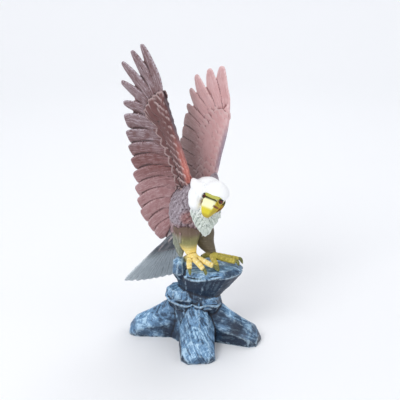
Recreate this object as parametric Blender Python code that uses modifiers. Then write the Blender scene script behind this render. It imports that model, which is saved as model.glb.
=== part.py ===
"""Bald eagle figurine in painted cast resin, wings raised, perched on a rock with four splayed feet.

Two solids: the eagle, cast in one, and the rock that it stands on.
Metres, +Z up, origin on the floor under the middle of the rock. The view that shows the face looks along +Y.
"""

import math

import bmesh
import bpy
from mathutils import Matrix, Vector, noise

# Eagle: one height drives the figure, and every other figure value is a share of it
EAGLE_HEIGHT = 0.2728  # from the perch under the claws to the highest wing tip
POSE_UNITS = 272.8  # the pose below counts the eagle's height in this many units
FEATHER_SIDES = 8
FEATHER_RINGS = 10
BODY_SIDES = 20
LIMB_SIDES = 12
CASTING_GRAIN = 0.0009  # voxel size that the forms are fused with
EAGLE_FACETS = 8600

# Rock
PERCH_HEIGHT = 0.0960  # floor to the rock's top under the claws
PERCH_LENGTH = 0.0840  # the overhanging top stone, along X
PERCH_DEPTH = 0.0640  # the same stone, along Y
PERCH_SHIFT_X = 0.0160  # how far the top stone leans out over the right foot
PERCH_SHIFT_Y = -0.0030
TOP_STONE_HEIGHT = 0.0400
WAIST_RADIUS = 0.0260
WAIST_HEIGHT = 0.0620
LUMP_LENGTH = 0.0170  # the small stone on the near corner of the top, along X
LUMP_DEPTH = 0.0220
LUMP_RISE = 0.0130  # above the perch
ROCK_FOOT_WIDTH = 0.0370
ROCK_FOOT_HEIGHT = 0.0235  # of a foot's brow, just behind its blunt end
ROCK_SHOULDER_HEIGHT = 0.0520  # of a foot's ridge where it leaves the column
ROCK_FEET = {  # name: direction in degrees, reach in metres, width over the common width
    "front": (-88.0, 0.0810, 1.16),
    "right": (-20.0, 0.0825, 0.92),
    "back": (82.0, 0.0720, 1.00),
    "left": (177.0, 0.0830, 0.86),
}
SEAT_GAP = 0.0003  # resin to resin, under the eagle's toes
FACET_JITTER = 0.0016
FACET_PATCH = 0.0118  # how far apart the rock's bumps are
FACET_SEED = 7
WELD = 0.00003
SMALLEST_SHELL = 1e-9  # cubic metres

UNIT = EAGLE_HEIGHT / POSE_UNITS
EYES_MIDDLE = (18.4, -52.0, 104.0)  # in pose units
FACE_RIGHT = Vector((0.864, -0.471, -0.182))  # the head is turned, bowed and tilted by these three directions
FACE_AHEAD = Vector((-0.395, -0.406, -0.824))
FACE_UP = Vector((-0.314, -0.783, 0.537))
BEAK_SHIFT = -1.8  # from midway between the eyes, in pose units

MAROON = (0.20, 0.075, 0.062, 1.0)
SLATE = (0.075, 0.115, 0.165, 1.0)


def clear_scene():
    for old in list(bpy.data.objects):
        bpy.data.objects.remove(old)


def collection_named(name, shown=True):
    made = bpy.data.collections.new(name)
    made.hide_render = not shown
    bpy.context.scene.collection.children.link(made)
    return made


def painted(name, colour, roughness):
    material = bpy.data.materials.new(name)
    material.use_nodes = True
    shader = material.node_tree.nodes["Principled BSDF"]
    shader.inputs["Base Color"].default_value = colour
    shader.inputs["Roughness"].default_value = roughness
    shader.inputs["Metallic"].default_value = 0.0
    return material


def pose(x, y, z):
    """A point of the pose, given in pose units. The eagle is modelled with the perch at the origin."""
    return Vector((x, y, z)) * UNIT


def poses(*points):
    return [pose(*p) for p in points]


def on_curve(points, t):
    """The point at t, from 0 to 1, of a smooth curve through evenly spaced points or numbers."""
    last = len(points) - 1
    at = min(max(t, 0.0), 1.0) * last
    i = min(int(at), last - 1)
    u = at - i
    before = points[max(i - 1, 0)]
    after = points[min(i + 2, last)]
    a, b = points[i], points[i + 1]
    return (
        a * 2.0
        + (b - before) * u
        + (before * 2.0 - a * 5.0 + b * 4.0 - after) * u**2
        + (a * 3.0 - before - b * 3.0 + after) * u**3
    ) * 0.5


def heading_on(points, t):
    step = 0.02
    return (on_curve(points, min(t + step, 1.0)) - on_curve(points, max(t - step, 0.0))).normalized()


def object_from(bm, name, home):
    bmesh.ops.recalc_face_normals(bm, faces=bm.faces)
    if bm.calc_volume(signed=True) < 0:
        bmesh.ops.reverse_faces(bm, faces=bm.faces)
    mesh = bpy.data.meshes.new(name)
    bm.to_mesh(mesh)
    bm.free()
    made = bpy.data.objects.new(name, mesh)
    home.objects.link(made)
    return made


def ball(sides, rings, place):
    """A closed ball whose vertices place(along, around, fullness) puts somewhere. along runs from pole to pole."""
    bm = bmesh.new()
    bmesh.ops.create_uvsphere(bm, u_segments=sides, v_segments=rings, radius=1.0)
    for vert in bm.verts:
        height = max(-1.0, min(1.0, vert.co.z))
        around = math.atan2(vert.co.y, vert.co.x)
        vert.co = place(math.acos(height) / math.pi, around, math.sqrt(1.0 - height * height))
    return bm


def limb(name, home, spine, girths, up, sides=BODY_SIDES, rings=8, blunt=1.0):
    """A fleshy form along a spine. girths holds its half-width and half-height at each point of the spine."""
    widths = [g[0] * UNIT for g in girths]
    heights = [g[1] * UNIT for g in girths]

    def place(along, around, fullness):
        t = 0.5 - 0.5 * math.cos(math.pi * along)
        ahead = heading_on(spine, t)
        side = ahead.cross(up).normalized()
        top = side.cross(ahead)
        full = fullness**blunt
        return (
            on_curve(spine, t)
            + side * on_curve(widths, t) * full * math.cos(around)
            + top * on_curve(heights, t) * full * math.sin(around)
        )

    return object_from(ball(sides, rings, place), name, home)


def feather(name, home, root, tip, half_width, thickness, facing, pointed=0.3, roll=0.0, bow=0.0, round_end=0.5):
    """One blade of resin from root to tip. facing is the way its flat side looks, roll turns it about its own shaft,
    pointed narrows it towards the tip, bow bends the shaft sideways as a share of its length, and a low round_end
    makes the end fuller."""
    shaft = tip - root
    ahead = shaft.normalized()
    across = ahead.cross(facing).normalized()
    out = across.cross(ahead)
    side = across * math.cos(roll) + out * math.sin(roll)
    lift = side.cross(ahead)

    def place(along, around, fullness):
        t = 0.5 - 0.5 * math.cos(math.pi * along)
        neck = 0.6 + 0.4 * min(1.0, t / 0.35)
        width = half_width * neck * (1.0 - pointed * t) * fullness**round_end
        middle = root + shaft * t + across * bow * shaft.length * math.sin(math.pi * t)
        return middle + side * width * math.cos(around) + lift * thickness * fullness**0.5 * math.sin(around)

    return object_from(ball(FEATHER_SIDES, FEATHER_RINGS, place), name, home)


def sheet(name, home, lead, trail, thickness, swell, sides=10, rings=12):
    """A curved sheet between two edges. swell thickens it towards the leading edge."""

    def place(along, around, fullness):
        t = 0.5 - 0.5 * math.cos(math.pi * along)
        front, back = on_curve(lead, t), on_curve(trail, t)
        middle, reach = (front + back) * 0.5, (front - back) * 0.5
        face = heading_on(lead, t).cross(reach).normalized()
        thick = thickness * (1.0 + swell * math.cos(around))
        return (
            middle
            + reach * math.cos(around) * fullness**0.3
            + face * thick * math.sin(around) * fullness**0.5
        )

    return object_from(ball(sides, rings, place), name, home)


def wing(name, home, lead, roots, tips, widths, webbed, primaries, flights, outward):
    """One raised wing. Its curves run from the shoulder to the wrist for lead, and from the outermost feather to the
    innermost one for the others. webbed is the share of each feather's length that is joined to the next one."""
    inner_roots = list(reversed(roots))
    web_start, web_end = [], []
    for i in range(8):
        t = 1.0 - i / 7
        root, tip = on_curve(roots, t), on_curve(tips, t)
        web_start.append(root.lerp(tip, -0.06))
        web_end.append(root.lerp(tip, on_curve(webbed, t)))
    made = [
        sheet(name + "_arm", home, lead, inner_roots, 4.6 * UNIT, 0.3),
        sheet(name + "_web", home, web_start, web_end, 1.5 * UNIT, 0.0, sides=8),
    ]

    def face_at(t):
        across = heading_on(lead, 1.0 - t).cross(on_curve(roots, t) - on_curve(lead, 1.0 - t)).normalized()
        return across if across.dot(outward) > 0 else -across

    for i in range(flights):
        t = i / (flights - 1)
        root, tip = on_curve(roots, t), on_curve(tips, t)
        primary = i < primaries
        made.append(
            feather(
                f"{name}_flight_{i}",
                home,
                root - (tip - root) * 0.1,
                tip,
                on_curve(widths, t) * UNIT,
                2.3 * UNIT,
                face_at(t),
                pointed=0.42 if primary else -0.2,
                roll=math.radians(10.0),
                bow=0.045 if primary else 0.03,
                round_end=0.6 if primary else 0.36,
            )
        )
    covert_rows = ((12, 0.10, 15.0, 6.6, 2.8), (11, 0.42, 15.0, 6.4, 4.0))
    for row, (count, start, reach, width, thick) in enumerate(covert_rows):
        for i in range(count):
            t = (i + 0.5 * row + 0.25) / count
            root, front, tip = on_curve(roots, t), on_curve(lead, 1.0 - t), on_curve(tips, t)
            upward = heading_on(lead, 1.0 - t)
            way = ((tip - root).normalized() + upward * (0.5 + 0.5 * row)).normalized()
            begin = root * (1.0 - start) + front * start - way * 6.0 * UNIT
            made.append(
                feather(
                    f"{name}_covert_{row}_{i}",
                    home,
                    begin,
                    begin + way * (reach + 6.0) * UNIT,
                    width * UNIT,
                    thick * UNIT,
                    face_at(t),
                    pointed=0.1,
                    roll=math.radians(6.0),
                )
            )
    return made


def near_wing(home):
    """The wing on the eagle's right, nearest the viewer, which leans out and back."""
    lead = poses((-1, -13, 84), (-7, -23, 117), (-14, -27, 144), (-21, -29, 170), (-29, -30, 200), (-38, -28, 229))
    roots = poses(
        (-41, -26, 216), (-46, -17, 199), (-44, -12, 186), (-34, -7, 158),
        (-25, -3, 133), (-18, 1, 107), (-17, 6, 81), (-16, 8, 60),
    )
    tips = poses(
        (-60, -18, 273), (-84, 2, 249), (-85, 18, 197), (-82, 26, 153),
        (-77, 34, 116), (-73, 37, 79), (-66, 32, 48), (-48, 20, 27),
    )
    widths = [11.5, 13.0, 12.5, 11.2, 10.4, 10.0, 10.6, 8.0]
    webbed = [0.34, 0.5, 0.72, 0.84, 0.86, 0.86, 0.84, 0.8]
    return wing("near", home, lead, roots, tips, widths, webbed, 5, 15, Vector((-0.64, -0.77, 0.0)))


def far_wing(home):
    """The wing on the eagle's left, behind the head, which stands straighter."""
    lead = poses((17, 10, 80), (26, 16, 108), (31, 20, 132), (37, 24, 155), (41, 28, 176), (41, 32, 197))
    roots = poses(
        (36, 35, 183), (22, 40, 178), (12, 44, 162), (6, 44, 140), (3, 42, 115), (-2, 36, 88), (-6, 28, 62)
    )
    tips = poses(
        (31, 38, 237), (0, 58, 222), (-11, 70, 182), (-17, 73, 146), (-23, 74, 114), (-29, 68, 76), (-28, 50, 44)
    )
    widths = [12.5, 12.0, 11.5, 10.6, 10.4, 10.4, 8.6]
    webbed = [0.42, 0.56, 0.78, 0.86, 0.86, 0.84, 0.8]
    return wing("far", home, lead, roots, tips, widths, webbed, 5, 13, Vector((0.64, 0.77, 0.0)))


def tail(home):
    """A spread fan that hangs behind the rock, and the coverts over its root."""
    root = poses((-23, 6, 38), (-27, 13, 36), (-24, 19, 34))
    tips = poses((-89, 25, -36), (-74, 36, -41), (-58, 48, -44), (-42, 60, -46), (-26, 72, -47))
    made = []
    count = 9
    for i in range(count):
        t = i / (count - 1)
        begin, end = on_curve(root, t), on_curve(tips, t)
        face = (end - begin).cross(on_curve(tips, 1.0) - on_curve(tips, 0.0))
        made.append(
            feather(
                f"tail_{i}", home, begin, end, 8.2 * UNIT, 1.8 * UNIT, face, pointed=-0.25, roll=math.radians(7.0)
            )
        )
    for i in range(5):
        t = (i + 0.2) / 5
        begin, end = on_curve(root, t), on_curve(tips, t)
        face = (end - begin).cross(on_curve(tips, 1.0) - on_curve(tips, 0.0))
        made.append(
            feather(
                f"tail_covert_{i}",
                home,
                begin - (end - begin) * 0.14,
                begin + (end - begin) * 0.36,
                9.0 * UNIT,
                4.0 * UNIT,
                face,
                pointed=0.1,
            )
        )
    return made


def trunk(home):
    up = Vector((0.0, -1.0, 0.2))
    body = limb(
        "trunk",
        home,
        poses((11, -10, 110), (4, -4, 95), (-3, 0, 78), (-9, 3, 60), (-18, 10, 42), (-30, 16, 26)),
        [(13, 14), (22, 22), (26, 26), (25, 25), (18, 18), (9, 9)],
        up,
        rings=9,
    )
    breast = limb(
        "breast",
        home,
        poses((-4, -16, 114), (-8, -18, 96), (-13, -17, 78), (-15, -13, 62), (-14, -10, 48)),
        [(6, 7), (12, 11), (16, 13), (17, 13), (12, 10)],
        up,
        rings=8,
    )
    shoulder_far = limb(
        "shoulder_far",
        home,
        poses((24, 12, 112), (18, 10, 94), (11, 10, 76), (4, 8, 58)),
        [(7, 6), (12, 10), (14, 12), (11, 10)],
        up,
        rings=6,
    )
    return [body, breast, shoulder_far]


def face(right, ahead, up):
    """A point of the head, from midway between the eyes, in pose units along the head's own axes."""
    return pose(*EYES_MIDDLE) + (FACE_RIGHT * right + FACE_AHEAD * ahead + FACE_UP * up) * UNIT


def on_beak(*points):
    """Points of the beak's own line, each as how far ahead and how far up."""
    return [face(BEAK_SHIFT, ahead, up) for ahead, up in points]


def head(home):
    """Neck, skull, cheeks, beard of white feathers, brow and hooked beak, bowed towards the viewer."""
    upright = Vector((0.0, 0.0, 1.0))
    brow_line = [
        face(*spot)
        for spot in ((-10.5, -2.0, -1.6), (-6.5, -1.6, 0.0), (0.0, -1.2, 0.5), (7.0, -1.6, 0.0), (12.0, -2.2, -1.6))
    ]
    forms = [
        limb(
            "neck",
            home,
            poses((4, 2, 76), (8, -9, 92), (13, -23, 103), (19, -35, 107), (24, -43, 110)),
            [(16, 15), (18, 16), (17.5, 15.5), (16, 14), (12, 11)],
            upright,
            rings=8,
        ),
        limb(
            "skull",
            home,
            [face(0, -22, -10), face(0, -15, -8.5), face(0, -8, -8), face(0, -2, -9.5), face(0, 4, -11)],
            [(9, 8), (14.6, 11.5), (15.8, 12), (13, 9), (8.5, 5)],
            FACE_UP,
            rings=8,
            blunt=0.8,
        ),
        limb(
            "left_cheek",
            home,
            poses((2, -33, 106), (-0.5, -37, 98), (1, -38, 89), (5, -38, 83)),
            [(6, 7), (7.6, 9), (8, 9), (5, 6)],
            Vector((0.0, -1.0, 0.0)),
            sides=9,
            rings=6,
        ),
        limb(
            "right_cheek",
            home,
            poses((27, -40, 104), (27, -41, 94), (24, -40, 84)),
            [(4.5, 6), (6, 8), (5, 6)],
            Vector((0.0, -1.0, 0.0)),
            sides=9,
            rings=6,
        ),
        limb(
            "throat",
            home,
            poses((15, -34, 100), (13.5, -37, 87), (11.5, -38, 75), (11.5, -37, 64), (11.5, -35, 55)),
            [(16.5, 10), (17, 10.5), (14, 9.5), (9.5, 7.5), (4.5, 4)],
            Vector((0.0, -1.0, 0.0)),
            rings=8,
            blunt=0.8,
        ),
        limb(
            "brow",
            home,
            brow_line,
            [(1.8, 1.6), (2.2, 1.8), (2.4, 1.9), (2.2, 1.8), (1.8, 1.6)],
            FACE_UP,
            sides=8,
            rings=7,
        ),
        limb(
            "upper_beak",
            home,
            on_beak((-4, -7), (4, -6.6), (11, -6.4), (17.5, -7.2), (24.6, -9.5)),
            [(12.4, 5), (12.6, 5.6), (10.8, 5.4), (7.8, 5), (3, 2.8)],
            FACE_UP,
            sides=10,
            rings=9,
            blunt=0.8,
        ),
        limb(
            "lower_beak",
            home,
            on_beak((-6, -13.5), (2, -15), (8, -15.2), (14.5, -15.4)),
            [(11, 4.5), (11, 3.6), (8.5, 3), (4, 2.4)],
            FACE_UP,
            sides=8,
            rings=6,
        ),
    ]
    for side in (-1, 1):
        forms.append(
            limb(
                f"eye_{side}",
                home,
                [face(side * 8.5, -7, -6), face(side * 10, -2.5, -4.6), face(side * 10.6, 2.2, -4.4)],
                [(4.2, 4.2), (4.2, 4.0), (3.0, 3.0)],
                FACE_UP,
                sides=8,
                rings=5,
            )
        )
    count = 12
    top = poses(
        (-5, -36, 88), (-1, -41, 78), (6, -44, 69), (11, -44, 64), (17, -43, 69), (24, -42, 79), (29, -38, 91)
    )
    end = poses(
        (-5, -33, 76), (0, -38, 65), (6, -40, 58), (11, -40, 52), (16, -39, 58), (21, -37, 67), (26, -35, 79)
    )
    for i in range(count):
        t = i / (count - 1)
        forms.append(
            feather(
                f"lock_{i}",
                home,
                on_curve(top, t),
                on_curve(end, t),
                5.0 * UNIT,
                3.0 * UNIT,
                Vector((0.0, -1.0, 0.2)),
                pointed=0.4,
            )
        )
    return forms


def toe(name, home, joints, claw, thick=4.2):
    """A toe and the claw at its end."""
    fall = joints[-1] - joints[0]
    up = Vector((0.0, 0.0, 1.0)) if abs(fall.normalized().z) < 0.7 else Vector((0.0, -1.0, 0.3))
    run = (joints[-1] - joints[-2]).normalized()
    back = joints[0] + (joints[0] - joints[1]).normalized() * thick * UNIT
    front = joints[-1] + run * thick * 0.7 * UNIT
    flesh = limb(
        name,
        home,
        [back] + joints + [front],
        [(k * thick, k * thick) for k in (1.0, 1.1, 1.0, 0.99, 0.8)],
        up,
        sides=LIMB_SIDES,
        rings=8,
        blunt=0.55,
    )
    bend = joints[-1] + run * 4.2 * UNIT + up * 0.8 * UNIT
    nail = limb(
        name + "_claw",
        home,
        [joints[-1] - run * 2.0 * UNIT, bend, (front + claw) * 0.5 + run * 1.6 * UNIT, claw],
        [(k * thick, k * thick * 1.07) for k in (0.66, 0.68, 0.5, 0.16)],
        up,
        sides=6,
        rings=6,
        blunt=0.6,
    )
    return [flesh, nail]


def legs(home):
    front = Vector((0.0, -1.0, 0.0))
    made = [
        limb(
            "near_thigh",
            home,
            poses((-13, -2, 66), (-12, -8, 54), (-10, -13, 43), (-8, -17, 33), (-5, -19, 25), (-3, -21, 17)),
            [(15, 14), (17, 15), (15.5, 13), (12, 10.5), (9.4, 8), (8, 6.5)],
            front,
            rings=8,
            blunt=0.6,
        ),
        limb(
            "thigh_fluff",
            home,
            poses((-19, -4, 58), (-20, -7, 42), (-18, -7, 28), (-17, -7, 16)),
            [(8, 8), (8.5, 9), (7.5, 8), (4.5, 5)],
            front,
            sides=LIMB_SIDES,
            rings=7,
        ),
        limb(
            "far_thigh",
            home,
            poses((4, 6, 64), (7, 5, 50), (9, 3, 38), (12, 0, 28), (17, -4, 20), (22, -8, 13)),
            [(16, 13), (15, 12), (13.5, 11), (11.5, 10), (8.4, 8), (6.8, 5.4)],
            front,
            rings=8,
            blunt=0.6,
        ),
        limb(
            "near_palm",
            home,
            poses((-9, -20, 17), (-4, -23, 18.5), (2, -23, 17)),
            [(5.5, 5.5), (7, 6), (5.5, 5.5)],
            Vector((0.0, 0.0, 1.0)),
            sides=8,
            rings=6,
            blunt=0.7,
        ),
        limb(
            "far_palm",
            home,
            poses((18, -8, 12), (22, -9, 13.5), (28, -8, 12)),
            [(5, 5), (6, 5.4), (5, 5)],
            Vector((0.0, 0.0, 1.0)),
            sides=8,
            rings=6,
            blunt=0.7,
        ),
    ]
    toes = {
        "near_inner_toe": (poses((-7, -25, 18), (-8, -31, 14), (-7.5, -34, 8)), (-6.6, -35, -1)),
        "near_middle_toe": (poses((-3, -26, 18), (3, -32, 14), (8, -35, 8)), (12, -37, -1)),
        "near_outer_toe": (poses((1, -24, 18), (10, -29, 15), (19, -31, 10)), (27, -33, 3)),
        "near_back_toe": (poses((-8, -16, 14), (-12, -7, 9), (-14, -2, 5)), (-15, 3, -1)),
        "far_inner_toe": (poses((20, -11, 12), (23, -17, 8), (25, -21, 5)), (27, -25, -1)),
        "far_middle_toe": (poses((26, -10, 12), (37, -12, 9.5), (46, -13, 7.5)), (52, -13.5, 1)),
        "far_outer_toe": (poses((26, -5, 12), (39, -4, 9), (50, -3, 6.5)), (57.5, -3, -1)),
        "far_back_toe": (poses((18, 0, 11), (13, 7, 7), (10, 11, 4)), (8.5, 15, -1)),
    }
    for name, (joints, claw) in toes.items():
        made += toe(name, home, joints, pose(*claw))
    return made


def stone(name, home, rings, sides, turn=0.0, jitter=FACET_JITTER):
    """A faceted rock form: a stack of rings, each (centre, half-length, half-depth), closed flat at both ends."""
    count = len(rings) + 1

    def place(along, around, fullness):
        at = along * count - 1.0
        i = int(round(min(max(at, 0.0), len(rings) - 1.0)))
        centre, length, depth = rings[i]
        if fullness < 1e-4:
            return centre.copy()
        spot = centre + Vector((length * math.cos(around + turn), depth * math.sin(around + turn), 0.0))
        rough = noise.noise_vector(spot / FACET_PATCH)
        return spot + Vector((rough.x, rough.y, 0.35 * rough.z)) * jitter

    return object_from(ball(sides, count, place), name, home)


def rock_foot(name, home, direction, reach, width):
    """One splayed foot: a ridged bar that falls from the column to a blunt end, cut flat by the floor later."""
    angle = math.radians(direction)
    ahead = Vector((math.cos(angle), math.sin(angle), 0.0))
    half = ROCK_FOOT_WIDTH * width / 2
    end = ahead * reach
    stations = (
        (0.00, ROCK_SHOULDER_HEIGHT * 1.06, 0.95),
        (0.34, ROCK_SHOULDER_HEIGHT, 1.00),
        (0.58, (ROCK_SHOULDER_HEIGHT + ROCK_FOOT_HEIGHT) * 0.5, 1.00),
        (0.90, ROCK_FOOT_HEIGHT, 0.94),
        (1.00, ROCK_FOOT_HEIGHT * 0.45, 0.62),
    )
    side = Vector((-ahead.y, ahead.x, 0.0))
    section = ((-1.0, -0.1), (-1.0, 0.42), (-0.46, 0.88), (0.12, 1.0), (0.62, 0.80), (1.0, 0.40), (1.0, -0.1))
    bm = bmesh.new()
    loops = []
    for share, height, spread in stations:
        loop = []
        for across, rise in section:
            spot = end * share + side * across * half * spread + Vector((0.0, 0.0, rise * height))
            rough = noise.noise_vector(spot / FACET_PATCH + Vector((direction, 0.0, 0.0)))
            loop.append(bm.verts.new(spot + rough * FACET_JITTER))
        loops.append(loop)
    for first, second in zip(loops, loops[1:]):
        for i in range(len(section)):
            j = (i + 1) % len(section)
            bm.faces.new((first[i], first[j], second[j], second[i]))
    bm.faces.new(loops[0])
    bm.faces.new(loops[-1])
    return object_from(bm, name, home)


def rock_parts(home):
    centre = Vector((PERCH_SHIFT_X, PERCH_SHIFT_Y, 0.0))
    half_x, half_y = PERCH_LENGTH / 2, PERCH_DEPTH / 2
    foot_of_top = PERCH_HEIGHT - TOP_STONE_HEIGHT

    def level(share, shift, wide):
        height = foot_of_top + TOP_STONE_HEIGHT * share
        return centre * shift + Vector((0.0, 0.0, height)), half_x * wide, half_y * wide

    top_levels = ((-0.10, 0.3, 0.56), (0.35, 0.7, 0.80), (0.80, 1.0, 1.04), (0.97, 1.0, 0.86), (1.0, 0.9, 0.55))
    top = stone("top_stone", home, [level(*one) for one in top_levels], 10, turn=0.2)

    def on_waist(x, y, height, length, depth):
        """A ring round the column: everything as shares of the waist's radius, but the height of its own."""
        spot = Vector((x * WAIST_RADIUS, y * WAIST_RADIUS, height * WAIST_HEIGHT))
        return spot, length * WAIST_RADIUS, depth * WAIST_RADIUS

    column_rings = (
        (0.0, 0.0, -0.06, 1.35, 1.35), (0.0, 0.0, 0.5, 1.15, 1.1), (0.08, 0.0, 1.0, 1.0, 0.95),
        (0.15, 0.0, 1.1, 0.9, 0.9),
    )
    left_rings = (
        (-0.46, -0.23, 0.66, 0.73, 0.65), (-0.58, -0.27, 0.90, 0.92, 0.77), (-0.58, -0.23, 1.06, 0.81, 0.62),
        (-0.42, -0.15, 1.12, 0.46, 0.38),
    )
    right_rings = (
        (0.46, -0.31, 0.52, 0.54, 0.46), (0.46, -0.35, 0.74, 0.81, 0.81), (0.46, -0.31, 0.88, 0.73, 0.69),
        (0.38, -0.19, 1.04, 0.46, 0.46),
    )
    column = stone("column", home, [on_waist(*ring) for ring in column_rings], 9)
    left_ledge = stone("left_ledge", home, [on_waist(*ring) for ring in left_rings], 7, turn=0.5)
    right_ledge = stone("right_ledge", home, [on_waist(*ring) for ring in right_rings], 7, turn=0.1)

    corner = centre + Vector((-0.88 * half_x, -0.40 * half_y, PERCH_HEIGHT))

    def on_lump(x, y, rise, wide):
        spot = corner + Vector((x * LUMP_LENGTH, y * LUMP_DEPTH, rise * LUMP_RISE))
        return spot, wide * LUMP_LENGTH / 2, wide * LUMP_DEPTH / 2

    lump_rings = ((0.12, 0.04, -1.08, 0.7), (0.0, -0.05, -0.3, 1.0), (0.0, 0.04, 0.62, 0.9), (0.12, 0.14, 1.0, 0.5))
    lump = stone("lump", home, [on_lump(*ring) for ring in lump_rings], 7)
    feet = [
        rock_foot(f"{name}_foot", home, direction, reach, width)
        for name, (direction, reach, width) in ROCK_FEET.items()
    ]
    return [column, top, left_ledge, right_ledge, lump] + feet


def tidied(mesh):
    """Welds the slivers that a Boolean leaves, and removes the closed shells inside the solid: those that face inward
    or hold next to nothing."""
    bm = bmesh.new()
    bm.from_mesh(mesh)
    bmesh.ops.remove_doubles(bm, verts=bm.verts, dist=WELD)
    bmesh.ops.dissolve_degenerate(bm, edges=bm.edges, dist=WELD)
    bmesh.ops.triangulate(bm, faces=bm.faces)
    waiting = set(bm.faces)
    doomed = []
    while waiting:
        shell = [waiting.pop()]
        for face_now in shell:
            for edge in face_now.edges:
                for other in edge.link_faces:
                    if other in waiting:
                        waiting.remove(other)
                        shell.append(other)
        volume = sum(f.calc_center_median().dot(f.normal) * f.calc_area() for f in shell) / 3.0
        if volume < SMALLEST_SHELL:
            doomed += shell
    bmesh.ops.delete(bm, geom=doomed, context="FACES")
    bm.to_mesh(mesh)
    bm.free()


def cut_or_join(obj, operation, others, home):
    """Applies a Boolean of each object in others to obj in turn, and returns the result as a plain mesh object."""
    name = obj.name
    for other in others:
        boolean = obj.modifiers.new("boolean", "BOOLEAN")
        boolean.operation = operation
        boolean.solver = "EXACT"
        boolean.object = other
        graph = bpy.context.evaluated_depsgraph_get()
        mesh = bpy.data.meshes.new_from_object(obj.evaluated_get(graph))
        tidied(mesh)
        bpy.data.objects.remove(obj)
        bpy.data.objects.remove(other)
        obj = bpy.data.objects.new(name, mesh)
        home.objects.link(obj)
    return obj


def fused(name, forms, home):
    """All the forms as one closed casting, with no walls inside, brought down to the stated number of facets."""
    bm = bmesh.new()
    for form in forms:
        bm.from_mesh(form.data)
        bpy.data.objects.remove(form)
    made = object_from(bm, name, home)
    for kind, settings in (
        ("REMESH", {"mode": "VOXEL", "voxel_size": CASTING_GRAIN, "use_smooth_shade": True}),
        ("DECIMATE", {"decimate_type": "COLLAPSE", "use_collapse_triangulate": True}),
    ):
        step = made.modifiers.new(kind.lower(), kind)
        for setting, value in settings.items():
            setattr(step, setting, value)
        if kind == "DECIMATE":
            step.ratio = EAGLE_FACETS / (2.0 * len(made.data.polygons))
        graph = bpy.context.evaluated_depsgraph_get()
        made_mesh = bpy.data.meshes.new_from_object(made.evaluated_get(graph))
        made.modifiers.clear()
        made.data = made_mesh
    tidied(made.data)
    return made


def floor_cutter(home):
    bm = bmesh.new()
    bmesh.ops.create_cube(bm, size=1.0)
    for vert in bm.verts:
        vert.co = Vector((vert.co.x, vert.co.y, vert.co.z - 0.5))
    return object_from(bm, "floor_cutter", home)


def grown(obj, distance, home):
    """A copy of a mesh object with each vertex moved out by a distance."""
    mesh = obj.data.copy()
    made = bpy.data.objects.new(obj.name + "_grown", mesh)
    home.objects.link(made)
    push = made.modifiers.new("push", "DISPLACE")
    push.strength = distance
    push.mid_level = 0.0
    return made


def main():
    clear_scene()
    noise.seed_set(FACET_SEED)
    work = collection_named("work", shown=False)
    shown = collection_named("eagle_figurine")

    rock_forms = rock_parts(work)
    rock = cut_or_join(rock_forms[0], "UNION", rock_forms[1:], work)
    rock = cut_or_join(rock, "DIFFERENCE", [floor_cutter(work)], work)
    rock.name = "rock_base"

    forms = trunk(work) + head(work) + near_wing(work) + far_wing(work) + tail(work) + legs(work)
    eagle = fused("eagle", forms, work)
    eagle.data.transform(Matrix.Translation((0.0, 0.0, PERCH_HEIGHT)))
    eagle = cut_or_join(eagle, "DIFFERENCE", [grown(rock, SEAT_GAP, work)], work)
    eagle.name = "eagle"

    for made, material in ((eagle, painted("maroon_paint", MAROON, 0.5)), (rock, painted("slate_paint", SLATE, 0.6))):
        work.objects.unlink(made)
        shown.objects.link(made)
        made.data.materials.clear()
        made.data.materials.append(material)
        print(made.name, len(made.data.polygons), "faces")


main()
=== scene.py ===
"""Hand-painted cast resin figurine of a bald eagle with raised wings, on a rock with four splayed feet.

The eagle is one casting and so is the rock. Each is fused from swept forms and feather blades, gets its carved
relief, and is then painted by masks that are stored on its surface.
Lengths are in millimetres until a mesh is made. Pose tables are measured from the perch, the rock's top.
"""
import math
from functools import partial

import bpy
import numpy as np
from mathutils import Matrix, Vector, noise
from mathutils.bvhtree import BVHTree


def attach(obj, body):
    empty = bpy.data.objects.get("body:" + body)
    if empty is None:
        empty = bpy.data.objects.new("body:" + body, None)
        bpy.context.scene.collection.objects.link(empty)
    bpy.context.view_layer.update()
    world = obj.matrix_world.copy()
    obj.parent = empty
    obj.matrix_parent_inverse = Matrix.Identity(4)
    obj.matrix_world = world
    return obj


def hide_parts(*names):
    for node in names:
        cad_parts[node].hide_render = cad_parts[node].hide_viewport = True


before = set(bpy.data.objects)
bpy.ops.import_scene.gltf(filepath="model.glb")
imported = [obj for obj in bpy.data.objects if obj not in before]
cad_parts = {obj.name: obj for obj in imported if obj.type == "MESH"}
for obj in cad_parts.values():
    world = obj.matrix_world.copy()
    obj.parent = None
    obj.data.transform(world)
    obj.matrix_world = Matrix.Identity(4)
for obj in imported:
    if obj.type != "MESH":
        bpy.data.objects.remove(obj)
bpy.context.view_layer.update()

MM = 0.001
PERCH = np.array((0.0, 0.0, 96.0))
BODY_GRAIN = 0.85  # voxel that the forms of the eagle's body are fused with
FINE_GRAIN = 0.6  # the same for its head and feet
ROCK_GRAIN = 1.0
MOST_ROCK_TRIANGLES = 150000
rng = np.random.default_rng(11)

# Every form belongs to a part, which decides its relief and its paint
PARTS = (
    "arm_near arm_far flight_near flight_far covert_near covert_far trunk contour neck mane skull cheek beard"
    " socket brow lid beak eye thigh_near thigh_far fluff shank toe claw tail tail_covert rock"
).split()
CODE = {name: i for i, name in enumerate(PARTS)}


def at(*points):
    return np.array(points, float) + PERCH


def unit(v):
    v = np.asarray(v, float)
    return v / np.maximum(np.linalg.norm(v, axis=-1, keepdims=True), 1e-12)


def smooth(low, high, x):
    t = np.clip((np.asarray(x, float) - low) / (high - low), 0.0, 1.0)
    return t * t * (3.0 - 2.0 * t)


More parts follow.
